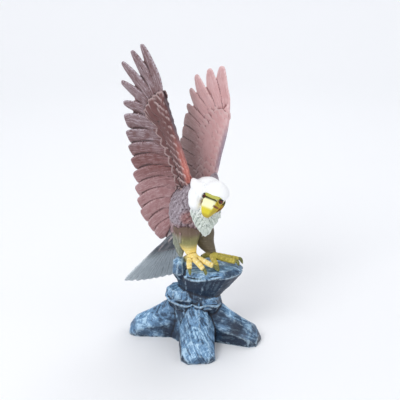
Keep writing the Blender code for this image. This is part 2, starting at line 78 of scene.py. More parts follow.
def on_curve(points, t):
    """Points at t, from 0 to 1, of a smooth curve through evenly spaced points, which may be numbers or vectors."""
    points, t = np.asarray(points, float), np.asarray(t, float)
    last = len(points) - 1
    place = np.clip(t, 0.0, 1.0) * last
    i = np.minimum(place.astype(int), last - 1)
    u = place - i
    if points.ndim > 1:
        u = u[..., None]
    before, a = points[np.maximum(i - 1, 0)], points[i]
    b, after = points[i + 1], points[np.minimum(i + 2, last)]
    return 0.5 * (
        2.0 * a
        + (b - before) * u
        + (2.0 * before - 5.0 * a + 4.0 * b - after) * u**2
        + (3.0 * a - before - 3.0 * b + after) * u**3
    )


def heading(points, t):
    t = np.asarray(t, float)
    return unit(on_curve(points, np.minimum(t + 0.02, 1.0)) - on_curve(points, np.maximum(t - 0.02, 0.0)))


def ball_grid(sides, rings):
    """A closed ball's grid: place along it from pole to pole, angle around it, and its quads and triangles."""
    along = np.concatenate(([0.0], np.repeat(np.arange(1, rings) / rings, sides), [1.0]))
    turn = np.arange(sides) / sides * 2.0 * math.pi
    around = np.concatenate(([0.0], np.tile(turn, rings - 1), [0.0]))
    k = np.arange(sides)
    following = (k + 1) % sides
    starts = 1 + np.arange(rings - 1) * sides
    quads = [
        np.stack((low + k, low + following, high + following, high + k), 1) for low, high in zip(starts, starts[1:])
    ]
    end = 1 + (rings - 2) * sides
    last = 1 + (rings - 1) * sides
    caps = np.concatenate(
        (
            np.stack((np.zeros(sides, int), 1 + following, 1 + k), 1),
            np.stack((np.full(sides, last), end + k, end + following), 1),
        )
    )
    return along, around, np.concatenate(quads), caps


def mesh_from(name, points, quads, triangles):
    """A mesh in metres from points in millimetres."""
    mesh = bpy.data.meshes.new(name)
    counts = np.concatenate((np.full(len(quads), 4), np.full(len(triangles), 3))).astype(np.int32)
    corners = np.concatenate((np.ravel(quads), np.ravel(triangles))).astype(np.int32)
    mesh.vertices.add(len(points))
    mesh.loops.add(len(corners))
    mesh.polygons.add(len(counts))
    mesh.vertices.foreach_set("co", (np.asarray(points, float) * MM).ravel())
    mesh.loops.foreach_set("vertex_index", corners)
    mesh.polygons.foreach_set("loop_start", np.concatenate(([0], np.cumsum(counts)[:-1])).astype(np.int32))
    mesh.update(calc_edges=True)
    return mesh


def in_scene(name, data):
    """A new object with this data, linked to the scene."""
    made = bpy.data.objects.new(name, data)
    bpy.context.scene.collection.objects.link(made)
    return made


def split(quads, triangles):
    """The same faces, all as triangles."""
    return np.concatenate((quads[:, (0, 1, 2)], quads[:, (0, 2, 3)], triangles))


def signed_volume(points, quads, triangles):
    a, b, c = (points[corner] for corner in split(quads, triangles).T)
    return np.einsum("ij,ij->i", a, np.cross(b, c)).sum() / 6.0


def store(mesh, name, values):
    found = mesh.attributes.get(name) or mesh.attributes.new(name, "FLOAT", "POINT")
    found.data.foreach_set("value", np.ascontiguousarray(values, np.float32))


def stored(mesh, name):
    values = np.zeros(len(mesh.vertices), np.float32)
    mesh.attributes[name].data.foreach_get("value", values)
    return values


class Casting:
    """Closed forms that will be fused, each point knowing its part and its place on its own form."""

    def __init__(self):
        self.points, self.quads, self.triangles = [], [], []
        self.facts = {key: [] for key in ("part", "along", "across", "seed", "length", "width")}
        self.count = 0

    def add(self, part, points, quads, triangles, along, across, seed, length, width):
        if signed_volume(points, quads, triangles) < 0:
            quads, triangles = quads[:, ::-1], triangles[:, ::-1]
        self.points.append(points)
        self.quads.append(quads + self.count)
        self.triangles.append(triangles + self.count)
        self.note(len(points), part=CODE[part], along=along, across=across, seed=seed, length=length, width=width)

    def note(self, new_points, **values):
        """Keeps the facts of the points that were just added, and counts them."""
        for key, value in values.items():
            self.facts[key].append(np.broadcast_to(np.asarray(value, float), (new_points,)))
        self.count += new_points

    def sweep(self, part, spine, girths, up, sides=40, rings=30, blunt=1.0):
        """A fleshy form along a spine. girths holds its half-width and half-height at each point of the spine."""
        along, around, quads, caps = ball_grid(sides, rings)
        t = 0.5 - 0.5 * np.cos(math.pi * along)
        full = (np.sin(math.pi * along) ** blunt)[:, None]
        ahead = heading(spine, t)
        side = unit(np.cross(ahead, up))
        top = np.cross(side, ahead)
        girths = np.asarray(girths, float)
        width, height = on_curve(girths[:, 0], t)[:, None], on_curve(girths[:, 1], t)[:, None]
        turn = around[:, None]
        points = on_curve(spine, t) + side * width * full * np.cos(turn) + top * height * full * np.sin(turn)
        reach = np.linalg.norm(np.diff(on_curve(spine, np.linspace(0, 1, 20)), axis=0), axis=1).sum()
        self.add(part, points, quads, caps, t, np.sin(around), 0.0, reach, float(girths.mean()))

    def blade(
        self, part, root, tip, half_width, thickness, facing, pointed=0.3, roll=0.0, bow=0.0, round_end=0.5,
        curl=0.0, cup=0.0, flat=1.0, sides=14, rings=22, seed=None,
    ):
        """One feather from root to tip. facing is the way its flat side looks, and roll turns it about its own shaft.
        bow bends it sideways and curl lifts its tip, as shares of its length, and cup hollows it, as a share of its
        width. A low flat gives it flat faces and blunt edges."""
        along, around, quads, caps = ball_grid(sides, rings)
        t = (0.5 - 0.5 * np.cos(math.pi * along))[:, None]
        full = np.sin(math.pi * along)[:, None]
        shaft = tip - root
        length = float(np.linalg.norm(shaft))
        ahead = shaft / length
        across = unit(np.cross(ahead, facing))
        out = np.cross(across, ahead)
        turned = roll * smooth(0.12, 0.6, t)
        side = across * np.cos(turned) + out * np.sin(turned)
        lift = np.cross(side, ahead)
        neck = 0.6 + 0.4 * np.minimum(1.0, t / 0.35)
        turn = around[:, None]
        width = half_width * neck * (1.0 - pointed * t) * np.maximum(full, 0.0) ** round_end
        points = (
            root + shaft * t
            + across * (bow * length) * np.sin(math.pi * t)
            + side * width * np.cos(turn)
            + lift * (
                thickness * np.sqrt(np.maximum(full, 0.0)) * np.sign(np.sin(turn)) * np.abs(np.sin(turn)) ** flat
                - cup * width * np.cos(turn) ** 2
            )
            + out * curl * length * t**2
        )
        seed = rng.random() if seed is None else seed
        self.add(part, points, quads, caps, t[:, 0], np.cos(around), seed, length, half_width)

    def sheet(self, part, lead, trail, thickness, swell, sides=28, rings=60):
        """A curved sheet between two edges. swell thickens it towards the leading edge."""
        along, around, quads, caps = ball_grid(sides, rings)
        t = 0.5 - 0.5 * np.cos(math.pi * along)
        full = np.sin(math.pi * along)[:, None]
        front, back = on_curve(lead, t), on_curve(trail, t)
        middle, reach = (front + back) * 0.5, (front - back) * 0.5
        face = unit(np.cross(heading(lead, t), reach))
        turn = around[:, None]
        thick = thickness * (1.0 + swell * np.cos(turn))
        points = middle + reach * np.cos(turn) * full**0.3 + face * thick * np.sin(turn) * np.sqrt(full)
        self.add(part, points, quads, caps, t, np.cos(around), 0.0, 200.0, 20.0)

    def loft(self, part, loops, sides=40, rings=40, straight=False, across=None):
        """A closed form through loops of points, each loop listed the same way round. straight keeps its facets."""
        loops = np.asarray(loops, float)
        _, around, quads, caps = ball_grid(sides, rings)
        share = np.arange(sides) / sides
        closed = np.concatenate((loops, loops[:, :1]), 1)
        if straight:
            place = share * loops.shape[1]
            i = place.astype(int)
            fine = closed[:, i] + (closed[:, i + 1] - closed[:, i]) * (place - i)[None, :, None]
        else:
            wrapped = np.concatenate((loops[:, -2:], closed, loops[:, 1:3]), 1)
            full = wrapped.shape[1] - 1
            fine = np.stack([on_curve(one, (2.0 + share * loops.shape[1]) / full) for one in wrapped])
        t = np.linspace(0.0, 1.0, rings - 1)
        if straight:
            place = t * (len(loops) - 1)
            i = np.minimum(place.astype(int), len(loops) - 2)
            middle = fine[i] + (fine[i + 1] - fine[i]) * (place - i)[:, None, None]
        else:
            middle = on_curve(fine.reshape(len(loops), -1), t).reshape(rings - 1, sides, 3)
        points = np.concatenate((middle[:1].mean(1), middle.reshape(-1, 3), middle[-1:].mean(1)))
        reach = np.linalg.norm(np.diff(middle.mean(1), axis=0), axis=1).sum()
        values = np.sin(around) if across is None else across(points)
        place = np.concatenate(([0.0], np.repeat(t, sides), [1.0]))
        self.add(part, points, quads, caps, place, values, 0.0, reach, 10.0)

    def absorb(self, mesh, part, length, width):
        """Takes in a plain mesh that carries along, across and seed values on its points."""
        co = np.zeros(len(mesh.vertices) * 3)
        mesh.vertices.foreach_get("co", co)
        start = self.count
        faces = [tuple(p.vertices) for p in mesh.polygons]
        quads = np.array([f for f in faces if len(f) == 4], int).reshape(-1, 4) + start
        triangles = np.array([f for f in faces if len(f) == 3], int).reshape(-1, 3) + start
        self.points.append(co.reshape(-1, 3) / MM)
        self.quads.append(quads)
        self.triangles.append(triangles)
        own = {key: stored(mesh, key) for key in ("along", "across", "seed")}
        self.note(len(mesh.vertices), part=CODE[part], length=length, width=width, **own)

    def whole(self):
        return (
            np.concatenate(self.points),
            np.concatenate(self.quads),
            np.concatenate(self.triangles),
            {key: np.concatenate(value) for key, value in self.facts.items()},
        )


# The eagle's forms


ARM_THICKNESS = 4.0
COVERT_ROWS = (  # place from the flights' roots to the leading edge, reach, half-width, how far it points outboard
    (-0.30, 22.0, 7.6, 0.20),
    (-0.03, 20.0, 7.4, 0.36),
    (0.23, 18.0, 7.0, 0.50),
    (0.48, 15.5, 6.4, 0.62),
    (0.74, 12.0, 5.4, 0.78),
)


def wing(cast, side, lead, roots, tips, widths, webbed, primaries, flights, outward, wrist, rows, clear):
    """One raised wing. lead runs from the shoulder to the wrist, and the other curves from the outermost feather to
    the innermost. webbed is the share of each feather's length that is joined to the next one, wrist the place
    where the coverts begin, and clear how high they lie over the middle of the wing at least."""
    ends = 1.0 - np.arange(8) / 7.0
    root, tip = on_curve(roots, ends), on_curve(tips, ends)
    web_end = root + (tip - root) * on_curve(webbed, ends)[:, None]
    cast.sheet("arm_" + side, lead, roots[::-1], ARM_THICKNESS, 0.3)
    cast.sheet("arm_" + side, root + (root - tip) * 0.06, web_end, 0.9, 0.0)

    def outer(direction):
        direction = unit(direction)
        return direction if direction @ outward > 0 else -direction

    def face_at(t):
        return outer(np.cross(heading(lead, 1.0 - t), on_curve(roots, t) - on_curve(lead, 1.0 - t)))

    def vane_at(t):
        """The way a flight feather looks: square to its shaft and to the line through the feathers' middles."""
        low, high = max(t - 0.04, 0.0), min(t + 0.04, 1.0)
        run = (on_curve(roots, high) + on_curve(tips, high)) - (on_curve(roots, low) + on_curve(tips, low))
        return outer(np.cross(run, on_curve(tips, t) - on_curve(roots, t)))

    for i in range(flights):
        t = i / (flights - 1)
        root, tip = on_curve(roots, t), on_curve(tips, t)
        primary = i < primaries
        cast.blade(
            "flight_" + side, root - (tip - root) * 0.1, tip, float(on_curve(widths, t)), 2.0, vane_at(t),
            pointed=0.42 if primary else -0.2, roll=math.radians(10.0), bow=0.045 if primary else 0.03,
            round_end=0.6 if primary else 0.36, flat=0.8, sides=28, rings=48,
        )
    count = 14
    for facing in (1.0, -1.0):
        for row, (share, reach, width, outboard) in enumerate(rows):
            for i in range(count):
                t = wrist + (1.0 - wrist) * (i + 0.5 * (row % 2) + 0.2) / count
                root, front, tip = on_curve(roots, t), on_curve(lead, 1.0 - t), on_curve(tips, t)
                chord = -1.0 + 2.0 * share
                arch = math.sqrt(max(0.05, 1.0 - chord * chord))
                half = ARM_THICKNESS * (1.0 + 0.3 * chord) * arch if share > 0 else 0.0
                slope = ARM_THICKNESS * (0.3 * arch - (1.0 + 0.3 * chord) * chord / arch) if share > 0.2 else 0.0
                flat_face = (face_at(t) if share > 0 else vane_at(t)) * facing
                face = unit(flat_face - unit(front - root) * slope / (0.5 * np.linalg.norm(front - root)))
                way = unit(tip - root) * (1.0 - outboard) + heading(lead, 1.0 - t) * outboard
                way = unit(way - face * (way @ face))
                middle = root + (front - root) * share + flat_face * max(half, clear)
                begin, end = middle - way * reach * 0.62 - face * 0.8, middle + way * reach * 0.38 + face * 0.1
                cast.blade(
                    "covert_" + side, begin, end, width * (1.0 + 0.07 * rng.standard_normal()), 0.5, face,
                    pointed=-0.1, round_end=0.4, flat=0.7, roll=math.radians(3.0), sides=12, rings=14,
                )


def near_wing(cast):
    lead = at((-1, -13, 84), (-7, -23, 117), (-14, -27, 144), (-21, -29, 170), (-29, -30, 200), (-38, -28, 229))
    roots = at(
        (-41, -26, 216), (-46, -17, 199), (-44, -12, 186), (-34, -7, 158), (-25, -3, 133), (-18, 1, 107),
        (-17, 6, 81), (-16, 8, 60),
    )
    tips = at(
        (-60, -18, 273), (-84, 2, 249), (-85, 18, 197), (-82, 26, 153), (-77, 34, 116), (-73, 37, 79),
        (-66, 32, 48), (-48, 20, 27),
    )
    widths = [11.5, 13.0, 12.5, 11.2, 10.4, 10.0, 10.6, 8.0]
    webbed = [0.34, 0.5, 0.72, 0.84, 0.86, 0.86, 0.84, 0.8]
    wing(
        cast, "near", lead, roots, tips, widths, webbed, primaries=5, flights=15,
        outward=np.array((-0.64, -0.77, 0.0)), wrist=0.06, rows=COVERT_ROWS, clear=2.1,
    )


def far_wing(cast):
    lead = at((17, 10, 80), (26, 16, 108), (31, 20, 132), (37, 24, 155), (41, 28, 176), (41, 32, 197))
    roots = at((36, 35, 183), (22, 40, 178), (12, 44, 162), (6, 44, 140), (3, 42, 115), (-2, 36, 88), (-6, 28, 62))
    tips = at(
        (31, 38, 237), (0, 58, 222), (-11, 70, 182), (-17, 73, 146), (-23, 74, 114), (-29, 68, 76), (-28, 50, 44)
    )
    widths = [12.5, 12.0, 11.5, 10.6, 10.4, 10.4, 8.6]
    webbed = [0.42, 0.56, 0.78, 0.86, 0.86, 0.84, 0.8]
    wing(
        cast, "far", lead, roots, tips, widths, webbed, primaries=5, flights=13,
        outward=np.array((0.64, 0.77, 0.0)), wrist=0.14, rows=COVERT_ROWS[1:], clear=1.0,
    )


def tail(cast):
    root = at((-23, 6, 38), (-27, 13, 36), (-24, 19, 34))
    tips = at((-89, 25, -36), (-74, 36, -41), (-58, 48, -44), (-42, 60, -46), (-26, 72, -47))
    spread = on_curve(tips, 1.0) - on_curve(tips, 0.0)
    for i in range(9):
        begin, end = on_curve(root, i / 8), on_curve(tips, i / 8)
        cast.blade(
            "tail", begin, end, 8.2, 1.8, np.cross(end - begin, spread), pointed=-0.25, roll=math.radians(7.0),
            sides=20, rings=40,
        )
    for facing in (1.0, -1.0):
        for row, (start, reach) in enumerate(((0.06, 0.30), (-0.12, 0.30))):
            for i in range(7):
                t = (i + 0.3 * row + 0.2) / 7
                begin, end = on_curve(root, t), on_curve(tips, t)
                face = unit(np.cross(end - begin, spread)) * facing
                cast.blade(
                    "tail_covert", begin + (end - begin) * start + face * (1.5 + 1.5 * row),
                    begin + (end - begin) * (start + reach) + face * (1.6 + row), 5.6, 1.6, face, pointed=0.1,
                    round_end=0.42, roll=math.radians(5.0), sides=10, rings=14,
                )


EYES_MIDDLE = at((18.4, -52.0, 104.0))[0]
FACE_RIGHT = np.array((0.864, -0.471, -0.182))  # the head is turned, bowed and tilted by these three directions
FACE_AHEAD = np.array((-0.395, -0.406, -0.824))
FACE_UP = np.array((-0.314, -0.783, 0.537))


def face(*points):
    """Points of the head, measured from midway between the eyes: right, ahead, up."""
    return np.array([EYES_MIDDLE + FACE_RIGHT * p[0] + FACE_AHEAD * p[1] + FACE_UP * p[2] for p in points])


def in_face(points):
    """The reverse of face: right, ahead and up for each point."""
    return (points - EYES_MIDDLE) @ np.stack((FACE_RIGHT, FACE_AHEAD, FACE_UP), 1)


UPRIGHT = np.array((0.0, 0.0, 1.0))
FRONT = np.array((0.0, -1.0, 0.2))


def fleshed(up, *forms, **shape):
    """A function that adds fleshy forms to a casting. Each form is its part, its spine and its girths."""

    def make(cast):
        for part, spine, girths in forms:
            cast.sweep(part, spine, girths, up, **shape)

    return make


trunk = fleshed(
    FRONT,
    (
        "trunk", at((11, -10, 110), (4, -4, 95), (-3, 0, 78), (-9, 3, 60), (-18, 10, 42), (-30, 16, 26)),
        [(13, 14), (22, 22), (26, 26), (25, 25), (18, 18), (9, 9)],
    ),
    (
        "trunk", at((-4, -16, 114), (-8, -18, 96), (-13, -17, 78), (-15, -13, 62), (-14, -10, 48)),
        [(6, 7), (12, 11), (16, 13), (17, 13), (12, 10)],
    ),
    ("trunk", at((24, 12, 112), (18, 10, 94), (11, 10, 76), (4, 8, 58)), [(7, 6), (12, 10), (14, 12), (11, 10)]),
)
throat = fleshed(
    UPRIGHT,
    (
        "neck", at((4, 2, 76), (8, -9, 92), (13, -23, 103), (19, -35, 107), (24, -43, 110)),
        [(16, 15), (18, 16), (17.5, 15.5), (16, 14), (12, 11)],
    ),
    sides=60, rings=50,
)
nape = fleshed(
    FRONT,
    ("neck", at((-4, -23, 117), (0, -29, 112), (5, -35, 106), (9, -41, 100)), [(4, 4.5), (7, 8), (9, 10), (9, 9)]),
    (
        "neck", at((0, -30, 104), (6, -35, 106), (11, -38, 108), (15, -40, 110)),
        [(7, 7), (10, 10), (9.5, 9.5), (8, 8)],
    ),
    (
        "neck", at((0, -27, 110), (-0.5, -33, 103), (1, -37, 95), (5, -38, 88)),
        [(6, 7), (8.6, 9.6), (8.8, 9.8), (7, 8)],
    ),
)
beard = fleshed(
    FRONT,
    (
        "beard", at((15, -34, 100), (13.5, -37, 87), (11.5, -38, 75), (11.5, -37, 64), (11.5, -35, 55)),
        [(16.5, 9), (17, 9.5), (14, 9), (9.5, 7.5), (4.5, 4)],
    ),
    blunt=0.8,
)
skull = fleshed(
    FACE_UP,
    (
        "skull", face((0, -22, -10), (0, -15, -8.5), (0, -8, -8), (0, -2, -9.5), (0, 4, -11)),
        [(9, 8), (14.6, 11.5), (15.8, 12), (13, 9), (8.5, 5)],
    ),
    blunt=0.8,
)
cheeks = fleshed(
    FRONT,
    (
        "cheek", at((2, -33, 106), (-0.5, -37, 98), (1, -38, 89), (5, -38, 83)),
        [(6, 7), (8.0, 9.6), (8.4, 9.6), (5, 6)],
    ),
    ("cheek", at((27, -40, 104), (27, -41, 94), (24, -40, 84)), [(4.5, 6), (6, 8), (5, 6)]),
)
eye_sockets = fleshed(
    FACE_UP,
    *(
        (
            "socket", face((k * 8.5, -10, -6.5), (k * 9.8, -3.5, -5), (k * 9.6, 1.5, -6.6), (k * 9, 5, -9)),
            [(4, 4), (4.4, 4.0), (3.8, 3.4), (2.4, 2.4)],
        )
        for k in (-1, 1)
    ),
    sides=24, rings=20,
)
brow_ridge = fleshed(
    FACE_UP,
    (
        "brow", face((-10.5, -2.0, -1.6), (-6.5, -1.6, 0.0), (0, -1.2, 0.5), (7, -1.6, 0.0), (11.5, -2.2, -1.6)),
        [(1.3, 1.2), (2.0, 1.5), (2.2, 1.6), (2.2, 1.6), (1.4, 1.2)],
    ),
    sides=28, rings=60, blunt=0.6,
)
lids = fleshed(
    FACE_UP,
    *(
        (
            "lid", face((k * 6.5, -0.5, -0.2), (k * 9, -1.2, -0.3), (k * 11.6, -1.4, -1.4), (k * 13.8, -1.6, -3.6)),
            [(0.5, 0.5), (0.9, 0.8), (1.0, 0.9), (0.5, 0.5)],
        )
        for k in (-1, 1)
    ),
    sides=16, rings=30,
)


BEAK_SHIFT = -2.3
EYES = face((-10.9, 0.9, -3.4), (11.0, 0.9, -3.4))
EYE_RADIUS = 2.2


def locks(cast):
    """Three rows of pointed locks round the edge of the beard."""
    top = at((-5, -37, 88), (-1, -43, 78), (6, -46, 69), (11, -46, 64), (17, -45, 69), (24, -43, 79), (29, -38, 91))
    end = at((-5, -34, 76), (0, -39, 65), (6, -41, 58), (11, -41, 52), (16, -40, 58), (21, -38, 67), (26, -36, 79))
    for row, (count, higher) in enumerate(((13, 0.0), (11, 8.0), (9, 16.0))):
        for i in range(count):
            begin, finish = on_curve(top, (i + 0.5) / count), on_curve(end, (i + 0.5) / count)
            shift = np.array(((12.0 - begin[0]) * 0.16 * row, -1.2 * row, higher))
            cast.blade(
                "mane", begin + shift, finish + shift, 4.2, 1.5, FRONT, pointed=0.45, curl=0.04,
                roll=0.12 * rng.standard_normal(), bow=0.05 * rng.standard_normal(), sides=14, rings=20,
            )


def bill_loops(stations):
    """Sections of the beak, each as ahead, height of its ridge, half-width on top, half-width below, depth."""
    loops = []
    for ahead, ridge, top, low, depth in stations:
        half = [
            (0.0, 0.35), (top * 0.6, 0.15), (top, -0.09 * depth), ((top + low) / 2 + 0.25, -0.5 * depth),
            (low, -0.94 * depth), (low * 0.8, -1.05 * depth), (0.0, -depth),
        ]
        outline = half + [(-r, u) for r, u in reversed(half[1:-1])]
        loops.append(face(*((BEAK_SHIFT + r, ahead, ridge + u) for r, u in outline)))
    return loops


def beak(cast):
    """The hooked upper bill, the lower one, and the fleshy gape at its corners."""
    upper = (
        (-5.0, -3.4, 6.6, 12.0, 8.6), (1.0, -2.2, 6.9, 12.5, 10.4), (6.5, -1.2, 6.9, 12.1, 11.0),
        (11.6, -1.2, 6.4, 10.2, 10.8), (16.4, -2.6, 5.2, 7.4, 9.6), (20.0, -4.8, 3.9, 4.9, 8.0),
        (22.2, -7.4, 2.5, 2.8, 5.4), (22.8, -10.0, 0.9, 1.0, 2.2),
    )
    lower = (
        (-6.0, -10.8, 10.0, 12.0, 6.4), (2.0, -11.6, 11.0, 12.0, 6.8), (8.0, -12.0, 9.6, 10.0, 6.0),
        (14.0, -12.4, 6.6, 6.8, 5.0), (18.5, -12.8, 2.8, 3.0, 3.0),
    )
    gape = ((12, -7, -8), (13.9, -1, -11.4), (12.4, 6.5, -13.2), (8.6, 13.5, -13.8))
    for stations, sides, rings in ((upper, 44, 44), (lower, 36, 30)):
        cast.loft("beak", bill_loops(stations), sides, rings, across=lambda p: -in_face(p)[:, 2])
    for side in (-1, 1):
        spine = face(*((BEAK_SHIFT + side * right, ahead, up) for right, ahead, up in gape))
        cast.sweep("beak", spine, [(1.6, 1.4), (2.1, 1.7), (1.8, 1.6), (1.2, 1.2)], FACE_UP, sides=20, rings=40)


def eyes(cast):
    """Two round eyeballs in their sockets."""
    for centre in EYES:
        spine = np.array([centre + FACE_AHEAD * EYE_RADIUS * k for k in (-1.0, -0.33, 0.33, 1.0)])
        cast.sweep("eye", spine, [(EYE_RADIUS, EYE_RADIUS)] * 4, FACE_UP, sides=24, rings=16)


def toe(cast, joints, claw, thick=3.35):
    run = unit(joints[-1] - joints[-2])
    fall = unit(joints[-1] - joints[0])
    up = UPRIGHT if abs(fall[2]) < 0.7 else unit(np.array((0.0, -1.0, 0.3)))
    back = joints[0] - unit(joints[1] - joints[0]) * thick
    front = joints[-1] + run * thick * 0.7
    girths = thick * np.array([(1, 1), (1.12, 1.1), (1, 1), (0.98, 1), (0.8, 0.8)])
    cast.sweep("toe", np.array([back, *joints, front]), girths, up, sides=24, rings=36, blunt=0.55)
    bend = joints[-1] + run * 4.2 + up * 0.8
    spine = np.array([joints[-1] - run * 2.0, bend, (front + claw) * 0.5 + run * 1.6, claw])
    girths = thick * np.array([(0.62, 0.66), (0.62, 0.7), (0.44, 0.5), (0.1, 0.12)])
    cast.sweep("claw", spine, girths, up, sides=20, rings=24, blunt=0.7)


NEAR_LEG = at((-13, -2, 66), (-12, -8, 54), (-10, -13, 43), (-8.4, -17, 33), (-6.4, -19, 25), (-4, -21.5, 16))
NEAR_GIRTHS = [(15, 14), (17, 15), (15.5, 13), (11.2, 10.2), (8.7, 8), (7.6, 6.2)]
FAR_LEG = at((4, 6, 64), (7, 5, 50), (9, 3, 38), (12, 0, 28), (17, -4, 20), (22, -8, 12))
FAR_GIRTHS = [(16, 13), (15, 12), (13.5, 11), (11, 9.6), (8.2, 7.6), (6.6, 5.2)]


legs = fleshed(
    FRONT, ("thigh_near", NEAR_LEG, NEAR_GIRTHS), ("thigh_far", FAR_LEG, FAR_GIRTHS), sides=56, rings=60, blunt=0.6
)
down = fleshed(
    FRONT,
    (
        "fluff", at((-18, -4, 60), (-19.5, -8, 44), (-19, -11, 30), (-18, -11, 12)),
        [(8, 8), (8.5, 9), (7.5, 8), (4.5, 5)],
    ),
)
palms = fleshed(
    UPRIGHT,
    ("shank", at((-9, -20, 16), (-4, -22.5, 18), (2, -22.5, 16)), [(5.5, 5.5), (6.6, 6), (5, 5)]),
    ("shank", at((18, -8, 11), (22, -9, 12.5), (28, -8, 11)), [(5, 5), (6, 5.4), (5, 5)]),
    blunt=0.7,
)


def thighs(cast):
    """Both feathered legs, and the grey down behind the near one."""
    legs(cast)
    down(cast)


def toes(cast):
    """Every toe with its claw, gripping the rock's edge."""
    for joints, claw in (
        (((-7, -25, 17), (-8, -31, 13), (-7.5, -34, 8)), (-6.6, -35, -1)),
        (((-3, -26, 17), (3, -32, 13), (8, -35, 8)), (12, -37, -1)),
        (((1, -24, 17), (10, -29, 14.5), (19, -31, 10)), (27, -33, 3)),
        (((-8, -16, 14), (-12, -7, 9), (-14, -2, 5)), (-15, 3, -1)),
        (((20, -11, 12), (23, -17, 8), (25, -21, 5)), (27, -25, -1)),
        (((26, -10, 12), (37, -12, 9.5), (46, -13, 7.5)), (52, -13.5, 1)),
        (((26, -5, 12), (39, -4, 9), (50, -3, 6.5)), (57.5, -3, -1)),
        (((18, 0, 11), (13, 7, 7), (10, 11, 4)), (8.5, 15, -1)),
    ):
        toe(cast, at(*joints), at(claw)[0])


# Small feathers, scattered by geometry nodes


DENSEST = 400000.0  # small feathers per square metre, before the spacing thins them

# A kind of node: its type, usual settings, the sockets that its values go to in turn, and the output that is read
NODE_KINDS = {
    "times": ("ShaderNodeMath", {"operation": "MULTIPLY"}, (0, 1), 0),
    "plus": ("ShaderNodeMath", {"operation": "ADD"}, (0, 1), 0),
    "minus": ("ShaderNodeMath", {"operation": "SUBTRACT"}, (0, 1), 0),
    "greater": ("ShaderNodeMath", {"operation": "MAXIMUM"}, (0, 1), 0),
    "sine": ("ShaderNodeMath", {"operation": "SINE"}, (0,), 0),
    "positive": ("ShaderNodeMath", {"operation": "ABSOLUTE"}, (0,), 0),
    "mix": ("ShaderNodeMix", {"data_type": "RGBA"}, (0, 6, 7), 2),
    "eased": (
        "ShaderNodeMapRange", {"interpolation_type": "SMOOTHSTEP"},
        ("Value", "From Min", "From Max", "To Min", "To Max"), 0,
    ),
    "noise": ("ShaderNodeTexNoise", {}, ("Vector", "Scale", "Detail", "Roughness", "Distortion"), 0),
    "stored": ("ShaderNodeAttribute", {}, (), "Fac"),
    "place": ("ShaderNodeTexCoord", {}, (), "Object"),
    "vector": ("ShaderNodeCombineXYZ", {}, (0, 1, 2), 0),
    "bump": ("ShaderNodeBump", {}, ("Strength", "Distance", "Height"), 0),
    "given": ("NodeGroupInput", {}, (), None),
    "spots": (
        "GeometryNodeDistributePointsOnFaces", {"distribute_method": "POISSON"},
        ("Mesh", "Distance Min", "Density Max", "Seed"), None,
    ),
    "turned": ("FunctionNodeAlignRotationToVector", {}, ("Vector", "Rotation"), 0),
    "any_vector": ("FunctionNodeRandomValue", {"data_type": "FLOAT_VECTOR"}, (0, 1, "Seed"), 0),
    "any_number": ("FunctionNodeRandomValue", {"data_type": "FLOAT"}, (2, 3, "Seed"), 1),
    "scaled": ("ShaderNodeVectorMath", {"operation": "SCALE"}, (0, "Scale"), 0),
    "sum": ("ShaderNodeVectorMath", {"operation": "ADD"}, (0, 1), 0),
    "object": ("GeometryNodeObjectInfo", {}, ("Object",), "Geometry"),
    "instances": ("GeometryNodeInstanceOnPoints", {}, ("Points", "Instance", "Rotation", "Scale"), 0),
    "named": (
        "GeometryNodeStoreNamedAttribute", {"data_type": "FLOAT", "domain": "INSTANCE"},
        ("Geometry", "Name", "Value"), 0,
    ),
    "real": ("GeometryNodeRealizeInstances", {}, ("Geometry",), 0),
    "painted": ("GeometryNodeSetMaterial", {}, ("Geometry",), 0),
    "result": ("NodeGroupOutput", {}, ("Plumage",), None),
}


def added(tree, kind, *values, **settings):
    """Adds one node. A value is a socket to link, a hex colour, or what the node's own socket is set to."""
    type_name, usual, sockets, output = NODE_KINDS[kind]
    made = tree.nodes.new(type_name)
    for key, value in {**usual, **settings}.items():
        setattr(made, key, value)
    for key, value in zip(sockets, values):
        if isinstance(value, bpy.types.NodeSocket):
            tree.links.new(value, made.inputs[key])
        else:
            is_colour = isinstance(value, str) and value.startswith("#")
            made.inputs[key].default_value = linear(value) if is_colour else value
    return made if output is None else made.outputs[output]


def plumage_tree():
    """Scatters one small feather over a surface, lying along the feather tracts, each with its own size and turn."""
    tree = bpy.data.node_groups.new("contour_feathers", "GeometryNodeTree")
    for name, kind in (
        ("Skin", "Geometry"), ("Feather", "Object"), ("Spacing", "Float"), ("Lie", "Vector"), ("Size", "Vector"),
        ("Unruly", "Float"), ("Seed", "Int"),
    ):
        tree.interface.new_socket(name, in_out="INPUT", socket_type="NodeSocket" + kind)
    tree.interface.new_socket("Plumage", in_out="OUTPUT", socket_type="NodeSocketGeometry")
    add = partial(added, tree)
    given = add("given").outputs
    seed = given["Seed"]
    spots = add("spots", given["Skin"], given["Spacing"], DENSEST, seed).outputs
    flat = add("turned", spots["Normal"], axis="Z", pivot_axis="AUTO")
    stray = add("scaled", add("any_vector", (-1.0, -1.0, -1.0), (1.0, 1.0, 1.0), seed), given["Unruly"])
    laid = add("turned", add("sum", given["Lie"], stray), flat, axis="Y", pivot_axis="Z")
    grown = add("scaled", given["Size"], add("any_number", 0.78, 1.2, seed))
    laid_out = add("instances", spots["Points"], add("object", given["Feather"]), laid, grown)
    named = add("named", laid_out, "seed", add("any_number", 0.0, 1.0, seed))
    add("result", add("painted", add("real", named)))
    return tree


